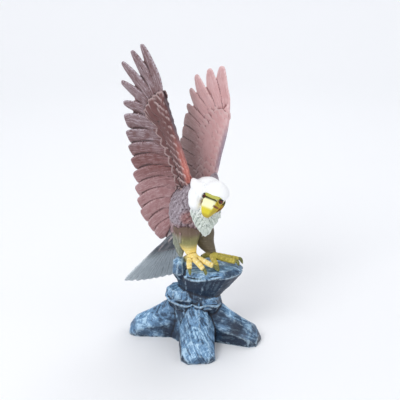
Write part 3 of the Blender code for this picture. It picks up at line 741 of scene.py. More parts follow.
def small_feather():
    """A feather one unit long and wide, that lies along +Y with its face to +Z."""
    cast = Casting()
    cast.blade(
        "contour", np.array((0.0, -0.55, -0.16)), np.array((0.0, 0.45, 0.14)), 0.5, 0.13, UPRIGHT, pointed=0.1,
        round_end=0.45, curl=0.12, cup=0.12, sides=8, rings=8, seed=0.0,
    )
    points, quads, triangles, facts = cast.whole()
    mesh = mesh_from("small_feather", points, quads, triangles)
    for key in ("along", "across"):
        store(mesh, key, facts[key])
    return in_scene("small_feather", mesh)


def feathers_on(cast, part, make_skin, tree, feather, spacing, lie, size, unruly, seed, keep=None):
    """Scatters feathers of a length and width, in millimetres, over a form, and adds them to the casting."""
    points, quads, triangles, _ = cast_of(make_skin).whole()
    if keep is not None:
        quads = quads[keep(points[quads].mean(1))]
    skin = in_scene("skin", mesh_from("skin", points, quads, triangles))
    scatter = skin.modifiers.new("plumage", "NODES")
    scatter.node_group = tree
    length, width, height = size
    given = {
        "Feather": feather, "Spacing": spacing * MM, "Lie": lie, "Size": (width, length, height), "Unruly": unruly,
        "Seed": seed,
    }
    for socket in tree.interface.items_tree:
        if socket.in_out == "INPUT" and socket.name in given:
            scatter[socket.identifier] = given[socket.name]
    evaluated = skin.evaluated_get(bpy.context.evaluated_depsgraph_get())
    cast.absorb(bpy.data.meshes.new_from_object(evaluated), part, length, width)
    bpy.data.objects.remove(skin)


# Fusing, relief and masks


def baked(obj):
    """Gives an object its evaluated mesh, and removes its modifiers."""
    mesh = bpy.data.meshes.new_from_object(obj.evaluated_get(bpy.context.evaluated_depsgraph_get()))
    obj.modifiers.clear()
    obj.data = mesh


def placed(name, cast):
    points, quads, triangles, _ = cast.whole()
    return in_scene(name, mesh_from(name, points, quads, triangles))


def cast_of(*makers):
    cast = Casting()
    for make in makers:
        make(cast)
    return cast


def fused(name, cast, grain, soften):
    """All the forms as one closed surface, with no walls inside."""
    made = placed(name, cast)
    fuse = made.modifiers.new("fuse", "REMESH")
    fuse.mode = "VOXEL"
    fuse.voxel_size = grain * MM
    even = made.modifiers.new("even", "SMOOTH")
    even.factor = 0.5
    even.iterations = soften
    baked(made)
    return made


def thinned(obj, most):
    """Brings a mesh under the most triangles that it may have."""
    faces = sum(len(p.vertices) - 2 for p in obj.data.polygons)
    if faces > most:
        fewer = obj.modifiers.new("fewer", "DECIMATE")
        fewer.ratio = most / faces
        baked(obj)


def finished(obj, material):
    """Gives an object its one paint and smooth shading."""
    obj.data.materials.clear()
    obj.data.materials.append(material)
    obj.data.shade_smooth()
    return obj


def joined(objects):
    with bpy.context.temp_override(active_object=objects[0], selected_editable_objects=objects):
        bpy.ops.object.join()
    return objects[0]


def surface(obj):
    """Points in millimetres, normals and edges of an object's mesh."""
    mesh = obj.data
    co, normal = np.zeros(len(mesh.vertices) * 3), np.zeros(len(mesh.vertices) * 3)
    edges = np.zeros(len(mesh.edges) * 2, np.int32)
    mesh.vertices.foreach_get("co", co)
    mesh.vertex_normals.foreach_get("vector", normal)
    mesh.edges.foreach_get("vertices", edges)
    return co.reshape(-1, 3) / MM, normal.reshape(-1, 3), edges.reshape(-1, 2)


def moved(obj, points):
    obj.data.vertices.foreach_set("co", (points * MM).ravel())
    obj.data.update()


class Spread:
    """Averages values over each point's neighbours."""

    def __init__(self, edges, count):
        self.a = np.concatenate((edges[:, 0], edges[:, 1]))
        self.b = np.concatenate((edges[:, 1], edges[:, 0]))
        self.count = count
        self.degree = np.maximum(np.bincount(self.a, minlength=count), 1)

    def over(self, values, times):
        values = np.asarray(values, float)
        if values.ndim > 1:
            return np.stack([self.over(values[:, k], times) for k in range(values.shape[1])], 1)
        for _ in range(times):
            near = np.bincount(self.a, weights=values[self.b], minlength=self.count) / self.degree
            values = 0.35 * values + 0.65 * near
        return values


def looked_up(points, cast):
    """What the nearest point of the forms' own surfaces says: part, along, across, seed, length and width."""
    form_points, quads, triangles, facts = cast.whole()
    faces = split(quads, triangles)
    tree = BVHTree.FromPolygons(form_points.tolist(), faces.tolist())
    hits = [tree.find_nearest(p) for p in points.tolist()]
    index = np.array([hit[2] for hit in hits])
    spot = np.array([tuple(hit[0]) for hit in hits])
    corners = faces[index]
    gap = np.linalg.norm(form_points[corners] - spot[:, None, :], axis=2) + 1e-4
    weight = gap**-2
    weight /= weight.sum(1, keepdims=True)
    found = {key: (facts[key][corners] * weight).sum(1) for key in ("along", "across", "seed", "length", "width")}
    found["part"] = facts["part"][corners[:, 0]].astype(int)
    return found


def is_part(found, *names):
    return np.isin(found["part"], [CODE[name] for name in names]).astype(float)


def nearest(points, places):
    """How far each point lies from the nearest of some places."""
    return np.min([np.linalg.norm(points - place, axis=1) for place in places], axis=0)


def beside(points, start, end):
    """How far each point lies from a straight line between two others."""
    run = end - start
    t = np.clip((points - start) @ run / (run @ run), 0.0, 1.0)
    return np.linalg.norm(points - start - t[:, None] * run, axis=1)


def wavy(points, scale, seed=0.0):
    """Smooth noise from -1 to 1 whose blobs are about scale millimetres wide."""
    shift = Vector((seed, seed * 1.7, seed * 2.3))
    return np.array([noise.noise(Vector(p) / scale + shift, noise_basis="PERLIN_ORIGINAL") for p in points.tolist()])


def creased(obj, fine_steps, broad_steps, fine_depth, broad_depth):
    """Stores how far each point lies under its surroundings: crease near by, and hollow over a wider area."""
    points, normals, edges = surface(obj)
    spread = Spread(edges, len(points))
    near = spread.over(points, fine_steps)
    wide = spread.over(near, broad_steps - fine_steps)
    store(obj.data, "crease", np.clip(np.einsum("ij,ij->i", near - points, normals) / fine_depth, -1.0, 1.0))
    store(obj.data, "hollow", np.clip(np.einsum("ij,ij->i", wide - points, normals) / broad_depth, -1.0, 1.0))
    return spread


def eagle_relief(obj, found):
    """Carves shafts, streaks, scutes and wrinkles into a fused part of the eagle."""
    points, normals, _ = surface(obj)
    u, v = found["along"], found["across"]
    part = partial(is_part, found)
    x, y, seed = u * found["length"], v * found["width"], found["seed"]
    end = smooth(0.0, 0.12, 1.0 - u)
    vane = part("flight_near", "flight_far", "tail")
    streak = wavy(np.stack((x * 0.07, y * 0.55, seed * 40.0), 1), 1.0)
    height = vane * (np.exp(-((v / 0.19) ** 2)) * 0.36 * end + 0.26 * streak)
    small = part("covert_near", "covert_far", "contour", "tail_covert")
    height += small * (np.exp(-((v / 0.25) ** 2)) * 0.14 + 0.2 * streak)
    locks_part = part("mane", "beard")
    height += locks_part * 0.38 * wavy(np.stack((x * 0.10, y * 0.45, seed * 30.0), 1), 1.0)
    height += part("neck", "skull", "cheek") * 0.3 * wavy(points * np.array((0.42, 0.42, 0.13)), 1.0)
    toes = part("toe")
    thigh = part("thigh_near", "thigh_far")
    trousers = thigh + part("fluff")
    shin = np.maximum(part("shank"), thigh * smooth(36.0, 32.0, points[:, 2] - PERCH[2]))
    run = np.where(toes > 0, x, points[:, 2])
    bands = np.sin(run * math.tau / 3.1 + 1.4 * wavy(points, 5.0))
    height += (0.16 * toes * smooth(-0.5, 0.3, v) + 0.06 * shin * (1.0 - toes)) * bands
    height += np.maximum(toes, shin) * 0.12 * wavy(points, 1.8, 2.0)
    height += trousers * (1.0 - shin) * 0.55 * wavy(points * np.array((0.36, 0.36, 0.07)), 1.0)
    moved(obj, points + normals * height[:, None])


# Heights, and x of each wing's leading edge there
NEAR_LEAD_X = ((84, 117, 144, 170, 200, 229), (-1, -7, -14, -21, -29, -38))
FAR_LEAD_X = ((80, 108, 132, 155, 176, 197), (17, 26, 31, 37, 41, 41))


def eagle_masks(obj, found, spread):
    """Stores what the paint reads: where each colour goes, and each feather's own directions."""
    points, _, _ = surface(obj)
    x, y, z = (points - PERCH).T
    _, ahead, up = in_face(points).T
    u, v = found["along"], found["across"]
    part = partial(is_part, found)
    far_parts = part("flight_far", "covert_far", "arm_far")
    near_parts = part("flight_near", "covert_near", "arm_near")
    near_in = x - np.interp(z, *NEAR_LEAD_X)
    far_in = x - np.interp(z, *FAR_LEAD_X)
    strip = near_parts * smooth(-8.0, -3.0, near_in) * smooth(185.0, 120.0, z)
    body = part("trunk", "contour")
    small = part("covert_near", "covert_far")
    thighs_mask = part("thigh_near", "thigh_far")
    bare = np.maximum(part("shank", "toe"), thighs_mask * smooth(37.0, 33.0, z))
    white = part("neck", "mane", "skull", "cheek", "beard", "socket")
    bill = part("beak")
    ridge = np.interp(ahead, (-5, 1, 6.5, 12, 17.5, 21.5, 24), (-3.4, -2.2, -1.2, -1.2, -2.6, -4.8, -7.4))
    depth = ridge - up
    eye_gap = nearest(points, EYES)
    pupil_gap = nearest(points, [eye + FACE_AHEAD * 1.3 + FACE_UP * 1.8 for eye in EYES])
    nostril = nearest(points, face((-11.6, 4.6, -5.6), (8.4, 4.6, -5.6)))
    claw = part("claw")
    corners = [face((BEAK_SHIFT + k * 7.6, 8.0, -3.4), (BEAK_SHIFT + k * 12.6, 8.6, -10.2)) for k in (-1, 1)]
    corner_shadow_gap = np.min([beside(points, *corner) for corner in corners], axis=0)
    cut = np.interp(ahead, (-5, 1, 6.5, 12, 17.5), (8.6, 10.0, 11.2, 11.2, 10.0))
    far, head, leg = spread.over(far_parts, 2), spread.over(white, 2), np.maximum(thighs_mask, bare)
    masks = {
        # painted light: the whole far wing is painted paler than the near one, as a lit copy of the wing's maroon
        "far": far,
        # painted light: a paler pink over the far wing's right part, where the light falls
        "far_wing_light": far * smooth(-8.0, 14.0, x + (z - 140.0) * 0.10),
        # painted shade: a darker, cooler strip along the far wing's leading edge, where it rounds away from the light
        "far_edge_shade": far_parts * smooth(-8.0, -1.0, far_in) * smooth(104.0, 122.0, z) * smooth(176.0, 150.0, z),
        "frost": np.maximum(
            near_parts * smooth(200.0, 232.0, z - near_in * 0.25),
            part("flight_near") * smooth(128.0, 172.0, z - near_in * 0.15) * smooth(0.12, 0.3, u),
        ),
        "dawn": part("flight_near") * smooth(125.0, 85.0, z),
        "edge_line": near_parts * smooth(-2.6, -1.0, near_in) * smooth(108.0, 130.0, z) * smooth(222.0, 208.0, z),
        "blush": spread.over(strip, 3),
        "blanch": spread.over(strip * smooth(104.0, 86.0, z), 3),
        "lilac": spread.over(body, 3),
        "flush": spread.over(
            body * np.maximum(smooth(14.0, 7.0, nearest(points, at((-8, -31, 68)))), 0.6 * smooth(64.0, 54.0, z)), 3
        ),
        # painted shade: darker grey over the tail coverts and the top of the tail, under the body
        "rump_shade": spread.over(
            np.maximum(part("tail_covert"), part("tail") * smooth(-6.0, 16.0, z)), 2
        ),
        "tail": spread.over(part("tail"), 2),
        "thigh": spread.over(leg, 3),
        "olive": spread.over(leg * smooth(48.0, 38.0, z), 4),
        "fluff": spread.over(part("fluff") * smooth(50.0, 40.0, z), 8),
        "gold": spread.over(bare * smooth(37.0, 25.0, z), 3),
        "moss": spread.over(bare, 3) * smooth(8.0, 14.0, x + 0.5 * y),
        # painted shade: the far thigh darker, standing in shadow behind the near leg
        "far_thigh_shade": spread.over(part("thigh_far"), 3) * smooth(11.0, 20.0, z),
        "claw": spread.over(np.maximum(claw, part("toe") * smooth(0.72, 0.95, u) * 0.6), 2),
        "white": head,
        # painted shade: the lower part of the white neck greyer and greener, under the head
        "ruff": head * smooth(94.0, 74.0, z) * smooth(-20.0, -34.0, y),
        "brow": part("brow"),
        "beak": bill,
        # painted highlight: the top plane of the upper bill painted pale cream, where the light falls
        "bill_top_highlight": bill * smooth(2.4, 1.5, depth) * smooth(14.5, 10.5, ahead),
        # painted shade: darker olive on the bill's sides and its hooked tip
        "bill_side_shade": bill * np.maximum(smooth(2.4, 4.0, depth), smooth(18.5, 21.5, ahead)),
        # the dark red mouth line along the bill's cutting edge, and a painted shadow at each corner of the mouth
        "gape": bill * np.maximum(
            np.exp(-(((depth - cut) / 0.9) ** 2)) * smooth(17.0, 12.0, ahead), smooth(1.9, 0.8, corner_shadow_gap)
        ),
        "nostril": bill * smooth(1.8, 0.9, nostril),
        "lore": part("socket") * smooth(-2.5, 0.5, ahead),
        "brow_shade": bill * smooth(3.2, 2.2, ahead),
        # a dark rim painted round each eye and on the lids, which is also painted shadow under the brow
        "eye_rim_and_brow_shadow": np.maximum(
            (white + bill) * smooth(EYE_RADIUS + 1.1, EYE_RADIUS + 0.3, eye_gap), part("lid")
        ),
        "eye": part("eye"),
        "pupil": part("eye") * smooth(1.5, 1.1, pupil_gap),
        "plain": small,
        "rims": part("covert_near", "covert_far", "tail_covert") * smooth(0.45, 0.7, u) * smooth(
            1.9, 0.9, np.minimum((1.0 - u) * found["length"], (1.0 - np.abs(v)) * found["width"])
        ),
        "vane": part("flight_near", "flight_far", "tail") + 0.4 * part("contour") + 0.25 * small,
        "feather_x": u * found["length"],
        "feather_y": v * found["width"],
        "seed": found["seed"],
    }
    for name, values in masks.items():
        store(obj.data, name, values)


def cast_part(name, cast, grain, most, soften):
    """One closed shell of the eagle with its relief and its masks."""
    made = fused(name, cast, grain, soften)
    found = looked_up(surface(made)[0], cast)
    eagle_relief(made, found)
    spread = creased(made, 4, 22, 0.24 * grain, 1.3 * grain)
    eagle_masks(made, found, spread)
    thinned(made, most)
    return made


def fine_part(name, *makers):
    """Small forms that keep their own smooth surfaces, with their masks."""
    cast = cast_of(*makers)
    made = placed(name, cast)
    spread = creased(made, 2, 6, 0.2, 1.0)
    found = cast.whole()[3]
    eagle_masks(made, {**found, "part": found["part"].astype(int)}, spread)
    return made


# Paints

RESIN_IOR = 1.49


def linear(hex_colour):
    """An sRGB hex colour as linear RGBA."""
    channels = [int(hex_colour[i : i + 2], 16) / 255.0 for i in (1, 3, 5)]
    return tuple(c / 12.92 if c <= 0.04045 else ((c + 0.055) / 1.055) ** 2.4 for c in channels) + (1.0,)


def per_metre(blob):
    """The noise scale that makes blobs of a width in millimetres."""
    return 1.0 / (blob * MM)


def paint(name):
    material = bpy.data.materials.new(name)
    material.use_nodes = True
    return material, material.node_tree, material.node_tree.nodes["Principled BSDF"]


# From the first coat to the last: mask, wash with painted shade in the creases, body colour, dry-brushed high spots
EAGLE_ZONES = (
    ("dawn", "#4c2c2c", "#94696a", "#c2a5a6"),
    ("frost", "#361f20", "#694545", "#bdb2ba"),
    ("plain", "#291112", "#5d312f", "#87605f"),
    ("edge_line", "#33262a", "#54434a", "#75636b"),
    # painted light: the far wing as a lit copy of the wing's maroon
    ("far", "#573f3f", "#9c7b78", "#bfa4a3"),
    # painted light on the far wing's right part
    ("far_wing_light", "#8a5c5c", "#d4a4a4", "#edcfcf"),
    # painted shade along the far wing's leading edge
    ("far_edge_shade", "#574e5a", "#8f7a86", "#afa0ab"),
    ("blush", "#74382f", "#b8665a", "#dc9286"),
    ("blanch", "#a87a78", "#deb0b0", "#f6e6e6"),
    ("lilac", "#46363d", "#86777f", "#bab1b9"),
    ("flush", "#553034", "#8f5f5d", "#b99a9a"),
    ("tail", "#6a757b", "#b4bec3", "#e4eaec"),
    # painted shade at the tail's root, under the body
    ("rump_shade", "#2b2d33", "#50545b", "#7e848b"),
    ("thigh", "#3a2822", "#655041", "#857061"),
    ("olive", "#403f20", "#757344", "#a8a36c"),
    ("fluff", "#4a4f42", "#7e8270", "#b2b6a4"),
    ("gold", "#a47a26", "#efd068", "#fff4c4"),
    ("moss", "#3a3c14", "#a39634", "#d8c65c"),
    # painted shade on the far thigh
    ("far_thigh_shade", "#2e271c", "#584d39", "#7d725a"),
    ("claw", "#1e2412", "#4c5024", "#8a8a48"),
    ("white", "#a4b0b3", "#f6f7f8", "#ffffff"),
    # painted shade on the lower ruff, under the head
    ("ruff", "#76837a", "#bcc5ba", "#e8ede8"),
    ("brow", "#5f5f18", "#b3b046", "#d8d578"),
    ("beak", "#7a6d0c", "#d6c61e", "#eee04a"),
    # painted shade on the bill's sides and tip
    ("bill_side_shade", "#5f540e", "#b8a020", "#dcc63c"),
    # painted highlight on the bill's top plane
    ("bill_top_highlight", "#e0d878", "#fbfbc6", "#ffffe6"),
    # the mouth line, and painted shadow at the mouth's corners
    ("gape", "#3a1408", "#6b2c14", "#8a4a24"),
    ("nostril", "#2a2408", "#4a4010", "#5a4e18"),
    ("lore", "#6a5a16", "#c2a438", "#e0c870"),
    ("brow_shade", "#26240a", "#423f14", "#55521e"),
    # dark eye rim, also painted shadow under the brow
    ("eye_rim_and_brow_shadow", "#0e0c0a", "#1e1a16", "#2e2822"),
    ("eye", "#3a0e0a", "#6a2418", "#6a2418"),
    ("pupil", "#060505", "#060505", "#060505"),
)


def eagle_paint():
    """Acrylic brushed by hand on cast polyresin: a satin film, darker where the wash ran into the carving and with
    painted shade in its creases and wider hollows, and paler where a nearly dry brush dragged over the high spots."""
    material, tree, shader = paint("hand_painted_polyresin")
    add = partial(added, tree)
    place = add("place")
    names = "feather_x feather_y seed crease hollow vane plain rims eye".split()
    mask = {name: add("stored", attribute_name=name) for name in names}
    coats = ("#2a1112", "#6d3b38", "#a07f81")
    for zone, *over in EAGLE_ZONES:
        share = add("stored", attribute_name=zone)
        coats = [add("mix", share, below, above) for below, above in zip(coats, over)]
    wash_and_shade_colour, body, light = coats
    stretch = (("feather_x", 0.09), ("feather_y", 0.8), ("seed", 37.0))  # streaks about 11 mm by 1.2 mm
    grain = add("vector", *(add("times", mask[name], by) for name, by in stretch))
    streaks = add("noise", grain, 1.0, 3.0, 0.6)
    blotches = add("noise", place, per_metre(9.09), 4.0, 0.6)
    speckle = add("noise", place, per_metre(2.381), 3.0, 0.6)
    coat = add("mix", add("times", add("eased", blotches, 0.35, 0.7), 0.3), body, light)
    # painted shade: the creases and wider hollows darkened, on top of the wash
    wash_and_shade = add(
        "plus", add("eased", mask["crease"], 0.05, 0.8), add("eased", mask["hollow"], 0.1, 0.9, 0.0, 0.55),
        use_clamp=True,
    )
    high = add(
        "times", add("eased", mask["crease"], -0.1, -0.7), add("eased", speckle, 0.35, 0.6), use_clamp=True
    )
    brushed = add("times", add("eased", streaks, 0.5, 0.68), add("times", mask["vane"], 0.7), use_clamp=True)
    high = add("times", high, add("eased", mask["plain"], 0.0, 1.0, 1.0, 0.35))
    colour = add("mix", add("times", add("greater", high, brushed), 0.8), coat, light)
    colour = add("mix", add("times", mask["rims"], 0.5), colour, "#d9c4c2")
    colour = add("mix", add("times", wash_and_shade, 0.9), colour, wash_and_shade_colour)
    tree.links.new(colour, shader.inputs["Base Color"])
    glossy = add("times", mask["eye"], 0.36)
    satin = add("minus", add("eased", blotches, 0.3, 0.7, 0.42, 0.58), glossy, use_clamp=True)
    tree.links.new(satin, shader.inputs["Roughness"])
    slant = add("minus", add("times", mask["feather_x"], 3.6), add("times", add("positive", mask["feather_y"]), 3.0))
    barbs = add("times", add("sine", slant), add("times", mask["vane"], 0.35))
    grit = add("noise", place, per_metre(1.111), 2.0, 0.55)
    tree.links.new(add("bump", 0.35, 0.3 * MM, add("plus", barbs, grit)), shader.inputs["Normal"])
    shader.inputs["IOR"].default_value = RESIN_IOR
    return material


def eagle():
    """The whole bird, as shells that are fused apart and then joined."""
    scattered = plumage_tree(), small_feather()
    body = cast_of(near_wing, far_wing, tail, trunk, throat, nape, thighs)
    feathers_on(
        body, "contour", trunk, *scattered, 3.5, (-0.3, 0.2, -1.0), (12.0, 3.6, 3.0), 0.75, 3,
        keep=lambda p: (p[:, 2] < 190.0) | (p[:, 0] < 12.0),
    )
    crown = cast_of(throat, nape, skull, cheeks, eye_sockets)
    ruff = cast_of(beard, locks)
    feathers_on(ruff, "mane", beard, *scattered, 6.2, (0.35, -0.1, -1.0), (20.0, 5.6, 3.0), 0.12, 6)
    bare = cast_of(thighs, palms, toes)
    feathers_on(
        bare, "fluff", thighs, *scattered, 4.6, (-0.05, -0.2, -1.0), (13.0, 3.2, 2.0), 0.2, 8,
        keep=lambda p: (p[:, 0] < -17.0) & (p[:, 2] < PERCH[2] + 42.0),
    )
    bpy.data.objects.remove(scattered[1])
    bpy.data.node_groups.remove(scattered[0])
    # Name, forms, grain, most triangles, and rounds of softening
    shells = (
        ("eagle_casting", body, BODY_GRAIN, 112000, 1), ("crown", crown, FINE_GRAIN, 22000, 60),
        ("ruff", ruff, FINE_GRAIN, 18000, 3), ("legs", bare, FINE_GRAIN, 32000, 1),
    )
    details = fine_part("face_details", brow_ridge, lids, beak, eyes)
    return finished(joined([cast_part(*shell) for shell in shells] + [details]), eagle_paint())


bird = eagle()
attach(bird, "root")
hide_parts("eagle")


# The rock

TOP_MIDDLE = np.array((16.0, -3.0, 0.0))
TOP_HALF = (42.0, 32.0)
TOP_HEIGHT = 40.0
WAIST = 26.0
WAIST_HEIGHT = 62.0
SHOULDER_HEIGHT = 52.0
FOOT_HEIGHT = 23.5
FOOT_WIDTH = 37.0
# Direction, reach and width of each foot
ROCK_FEET = ((-88.0, 81.0, 1.16), (-20.0, 82.5, 0.92), (82.0, 72.0, 1.0), (177.0, 83.0, 0.86))


def roughened(loops, patch, by):
    """Shifts each point of the loops by a smooth random step."""
    steps = [[noise.noise_vector(Vector(p) / patch) for p in loop] for loop in loops.tolist()]
    return loops + np.array(steps) * by


def stone(cast, rings, sides, turn):
    """A faceted block: a stack of rings, each (centre, half-length, half-depth)."""
    angle = turn + np.arange(sides) / sides * 2.0 * math.pi
    flat = np.stack((np.cos(angle), np.sin(angle), np.zeros(sides)), 1)
    loops = np.array([np.array(centre) + flat * (length, depth, 0.0) for centre, length, depth in rings])
    loops = roughened(loops, 11.0, np.array((1.6, 1.6, 0.55)))
    cast.loft("rock", loops, sides=sides * 8, rings=44, straight=True)


def rock_foot(cast, direction, reach, width):
    """One splayed foot: a ridged bar that falls from the column to a blunt end."""
    angle = math.radians(direction)
    ahead = np.array((math.cos(angle), math.sin(angle), 0.0))
    side = np.array((-ahead[1], ahead[0], 0.0))
    half = FOOT_WIDTH * width / 2.0
    stations = (
        (0.00, SHOULDER_HEIGHT * 1.06, 0.95), (0.34, SHOULDER_HEIGHT, 1.0),
        (0.58, (SHOULDER_HEIGHT + FOOT_HEIGHT) * 0.5, 1.0), (0.90, FOOT_HEIGHT, 0.94), (1.00, FOOT_HEIGHT * 0.45, 0.62),
    )
    section = ((-1.0, 0.0), (-1.0, 0.42), (-0.46, 0.88), (0.12, 1.0), (0.62, 0.80), (1.0, 0.40), (1.0, 0.0))
    loops = np.array([
        [ahead * reach * share + side * across * half * spread + UPRIGHT * rise * height for across, rise in section]
        for share, height, spread in stations
    ])
    rough = roughened(loops, 12.5, 1.6)
    rough[:, (0, -1), 2] = 0.0
    cast.loft("rock", rough, sides=112, rings=60, straight=True)


def lip(cast, points, thick):
    """A rounded, wavy edge along a ledge."""
    girths = [(k * thick, k * thick * 0.8) for k in (0.6, 1.1, 0.8, 1.1, 0.6)]
    cast.sweep("rock", np.array(points, float), girths, UPRIGHT, blunt=0.6)


def brushed_along(points):
    """Millimetres along and across the strokes of the brush, which ran out along each foot or down the column."""
    x, y, z = points.T
    reach = np.hypot(x, y)
    turn = np.arctan2(y, x)
    ways = np.radians([direction for direction, _, _ in ROCK_FEET])
    off = (turn[:, None] - ways + math.pi) % math.tau - math.pi
    near = off[np.arange(len(points)), np.abs(off).argmin(1)]
    on_foot = (z < SHOULDER_HEIGHT + 4.0) & (reach > WAIST * 0.8)
    on_top = z > PERCH[2] - 6.0
    along = np.select([on_foot, on_top], [reach, x + 400.0], z + 200.0)
    return along, np.select([on_foot, on_top], [reach * np.sin(near) + 0.6 * z, y - 100.0], turn * 30.0 + 100.0)


def rock():
    noise.seed_set(7)
    cast = Casting()

    def level(share, shift, wide):
        height = PERCH[2] - TOP_HEIGHT * (1.0 - share)
        return TOP_MIDDLE * shift + UPRIGHT * height, TOP_HALF[0] * wide, TOP_HALF[1] * wide

    layers = ((-0.10, 0.3, 0.56), (0.35, 0.7, 0.80), (0.80, 1.0, 1.04), (0.97, 1.0, 0.86), (1.0, 0.9, 0.55))
    top = [level(*layer) for layer in layers]
    column = [
        ((0, 0, 0), WAIST * 1.35, WAIST * 1.35), ((0, 0, WAIST_HEIGHT * 0.5), WAIST * 1.15, WAIST * 1.1),
        ((2, 0, WAIST_HEIGHT), WAIST, WAIST * 0.95), ((4, 0, WAIST_HEIGHT + 6), WAIST * 0.9, WAIST * 0.9),
    ]
    left_ledge = [
        ((-12, -6, 41), 19, 17), ((-15, -7, 56), 24, 20), ((-15, -6, 66), 21, 16), ((-11, -4, 69.5), 12, 10),
    ]
    right_ledge = [
        ((12, -8, 32), 14, 12), ((12, -9, 46), 21, 21), ((12, -8, 54.5), 19, 18), ((10, -5, 64.5), 12, 12),
    ]
    left_bulge = [
        ((-19, -14, 82), 6, 7), ((-21, -17, 92), 8.5, 11), ((-21, -15, 104), 7.5, 10), ((-19, -13, 109), 4, 6),
    ]
    for rings, sides, turn in (
        (top, 10, 0.2), (column, 9, 0.0), (left_ledge, 7, 0.5), (right_ledge, 7, 0.1), (left_bulge, 7, 0.0)
    ):
        stone(cast, rings, sides, turn)
    for direction, reach, width in ROCK_FEET:
        rock_foot(cast, direction, reach, width)
    for thick, *points in (
        (2.0, (-38, -6, 58), (-33, -20, 55), (-22, -27, 52), (-11, -28, 50), (-3, -27, 52)),
        (1.9, (-6, -27, 53), (4, -31, 50), (14, -30, 52), (25, -26, 49), (31, -18, 50)),
        (1.9, (-14, -26, 88), (-4, -33, 87), (10, -35, 88), (26, -32, 90), (38, -24, 91)),
    ):
        lip(cast, points, thick)
    made = fused("rock_casting", cast, ROCK_GRAIN, 3)
    points, normals, _ = surface(made)
    height = 0.7 * wavy(points, 13.0, 3.0) + 0.36 * wavy(points, 5.5, 9.0) + 0.12 * wavy(points, 2.4, 5.0)
    free = smooth(0.4, 3.0, points[:, 2]) * (1.0 - 0.7 * smooth(90.0, 94.0, points[:, 2]))
    moved(made, points + normals * (height * free)[:, None])
    spread = creased(made, 5, 26, 0.22, 1.3)
    # Painted light: faces that look up count as lit, and the right side is painted in shade, away from the light
    shaded = 0.5 * smooth(15.0, 50.0, points[:, 0])
    store(made.data, "painted_light", spread.over(surface(made)[1][:, 2], 3) - shaded)
    for name, values in zip(("brush_x", "brush_y"), brushed_along(points)):
        store(made.data, name, values)
    thinned(made, MOST_ROCK_TRIANGLES)
    return finished(made, rock_paint())


def rock_paint():
    """The same resin painted as slate: a navy undercoat left in the recesses, slate blue over it, and a pale
    dry-brushed blue dragged over ridges and faces that look up, under a semi-gloss sealer. Light and shade are painted
    in: faces that look up are painted lit and the right side shaded."""
    material, tree, shader = paint("slate_painted_polyresin")
    add = partial(added, tree)
    place = add("place")
    names = ("brush_x", "brush_y", "crease", "hollow", "painted_light")
    along, across, crease, hollow, up = (add("stored", attribute_name=name) for name in names)
    strokes = add("vector", add("times", along, 0.05), add("times", across, 0.34))  # about 20 mm by 3 mm
    dabs = add("noise", place, per_metre(8.333), 5.0, 0.7, 0.9)
    dragged = add("noise", strokes, 1.0, 4.0, 0.62, 0.4)
    drag = add("plus", add("times", dragged, 0.5), add("times", dabs, 0.5))
    patches = add("noise", place, per_metre(23.81), 3.0, 0.55)
    speckle = add("noise", place, per_metre(3.333), 3.0, 0.6)
    # painted light: lit faces slate blue, shaded ones navy, broken up by patches
    lit = add("plus", up, add("times", add("minus", patches, 0.5), 1.8))
    colour = add("mix", add("eased", lit, -0.15, 0.75), "#17263b", "#6e98bf")
    colour = add("mix", add("eased", drag, 0.49, 0.43, 0.0, 0.8), colour, "#1d3048")
    # the dry brush is heavier on the lit faces, as painted light
    dry = add("times", add("eased", drag, 0.52, 0.57), add("eased", lit, -0.1, 0.8, 0.1, 0.9), use_clamp=True)
    colour = add("mix", dry, colour, "#bcdef5")
    ridge = add("times", add("eased", crease, -0.2, -0.9), add("eased", speckle, 0.32, 0.55), use_clamp=True)
    colour = add("mix", add("times", ridge, 0.5), colour, "#c4def0")
    # painted shade: the creases and wider hollows darkened to near black navy, over the undercoat left there
    wash_and_shade = add("plus", add("eased", crease, 0.1, 0.8), add("eased", hollow, 0.15, 0.8, 0.0, 0.85), use_clamp=True)
    colour = add("mix", add("times", wash_and_shade, 0.92), colour, "#111827")
    tree.links.new(colour, shader.inputs["Base Color"])
    tree.links.new(add("eased", drag, 0.3, 0.7, 0.36, 0.55), shader.inputs["Roughness"])
    tree.links.new(add("bump", 0.4, 0.5 * MM, drag), shader.inputs["Normal"])
    shader.inputs["IOR"].default_value = RESIN_IOR
    return material


base = rock()
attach(base, "root")
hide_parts("rock_base")


# Camera, floor and light

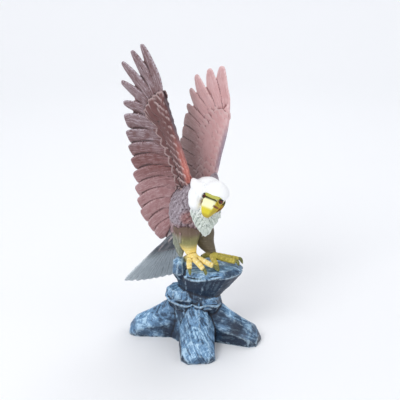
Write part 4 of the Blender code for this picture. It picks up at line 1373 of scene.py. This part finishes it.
camera = in_scene("camera", bpy.data.cameras.new("camera"))
CAMERA_TILT = math.radians(20.0)
CAMERA_DISTANCE = 1.1
LOOK_AT = Vector((0.005, 0.0, 0.178))
camera.location = LOOK_AT + CAMERA_DISTANCE * Vector((0.0, -math.cos(CAMERA_TILT), math.sin(CAMERA_TILT)))
camera.rotation_euler = (math.radians(90.0) - CAMERA_TILT, 0.0, 0.0)
camera.data.sensor_width = 36.0
camera.data.lens = 82.5
bpy.context.scene.camera = camera


def floor():
    """A seamless pale bowl that the figurine stands in: flat, then curving up to a low wall all round."""
    mesh = bpy.data.meshes.new("floor")
    flat, rise, steps, sides = 1.4, 0.9, 14, 72
    bends = [math.pi / 2 * k / steps for k in range(steps + 1)]
    profile = [(flat + rise * math.sin(bend), rise * (1.0 - math.cos(bend))) for bend in bends] + [(flat + rise, 1.2)]
    points = [(0.0, 0.0, 0.0)] + [
        (reach * math.cos(k / sides * math.tau), reach * math.sin(k / sides * math.tau), z)
        for reach, z in profile for k in range(sides)
    ]
    faces = [(0, 1 + k, 1 + (k + 1) % sides) for k in range(sides)]
    for ring in range(len(profile) - 1):
        first, above = 1 + ring * sides, 1 + (ring + 1) * sides
        faces += [(first + k, above + k, above + (k + 1) % sides, first + (k + 1) % sides) for k in range(sides)]
    mesh.from_pydata(points, [], faces)
    mesh.shade_smooth()
    material, _, shader = paint("pale_backdrop_paper")
    shader.inputs["Base Color"].default_value = linear("#fafbfd")
    shader.inputs["Roughness"].default_value = 0.9
    mesh.materials.append(material)
    return in_scene("floor", mesh)


floor()


def softbox(name, place, size, watts, target=LOOK_AT):
    lamp = in_scene(name, bpy.data.lights.new(name, "AREA"))
    lamp.data.shape = "SQUARE"
    lamp.data.size = size
    lamp.data.energy = watts
    lamp.location = place
    lamp.rotation_euler = (Vector(target) - Vector(place)).to_track_quat("-Z", "Y").to_euler()


softbox("key", (-0.9, -1.2, 1.6), 0.9, 17.0)
softbox("fill", (1.3, -0.9, 0.9), 1.2, 2.5)
softbox("back", (0.2, 1.0, 1.7), 1.0, 6.0)
softbox("backdrop", (0.0, 1.1, 2.3), 1.6, 8.0, (0.0, 2.2, 0.2))
bpy.context.scene.view_settings.view_transform = "Standard"
world = bpy.data.worlds.new("studio")
world.use_nodes = True
world.node_tree.nodes["Background"].inputs["Color"].default_value = linear("#f3f5fa")
world.node_tree.nodes["Background"].inputs["Strength"].default_value = 0.535
bpy.context.scene.world = world
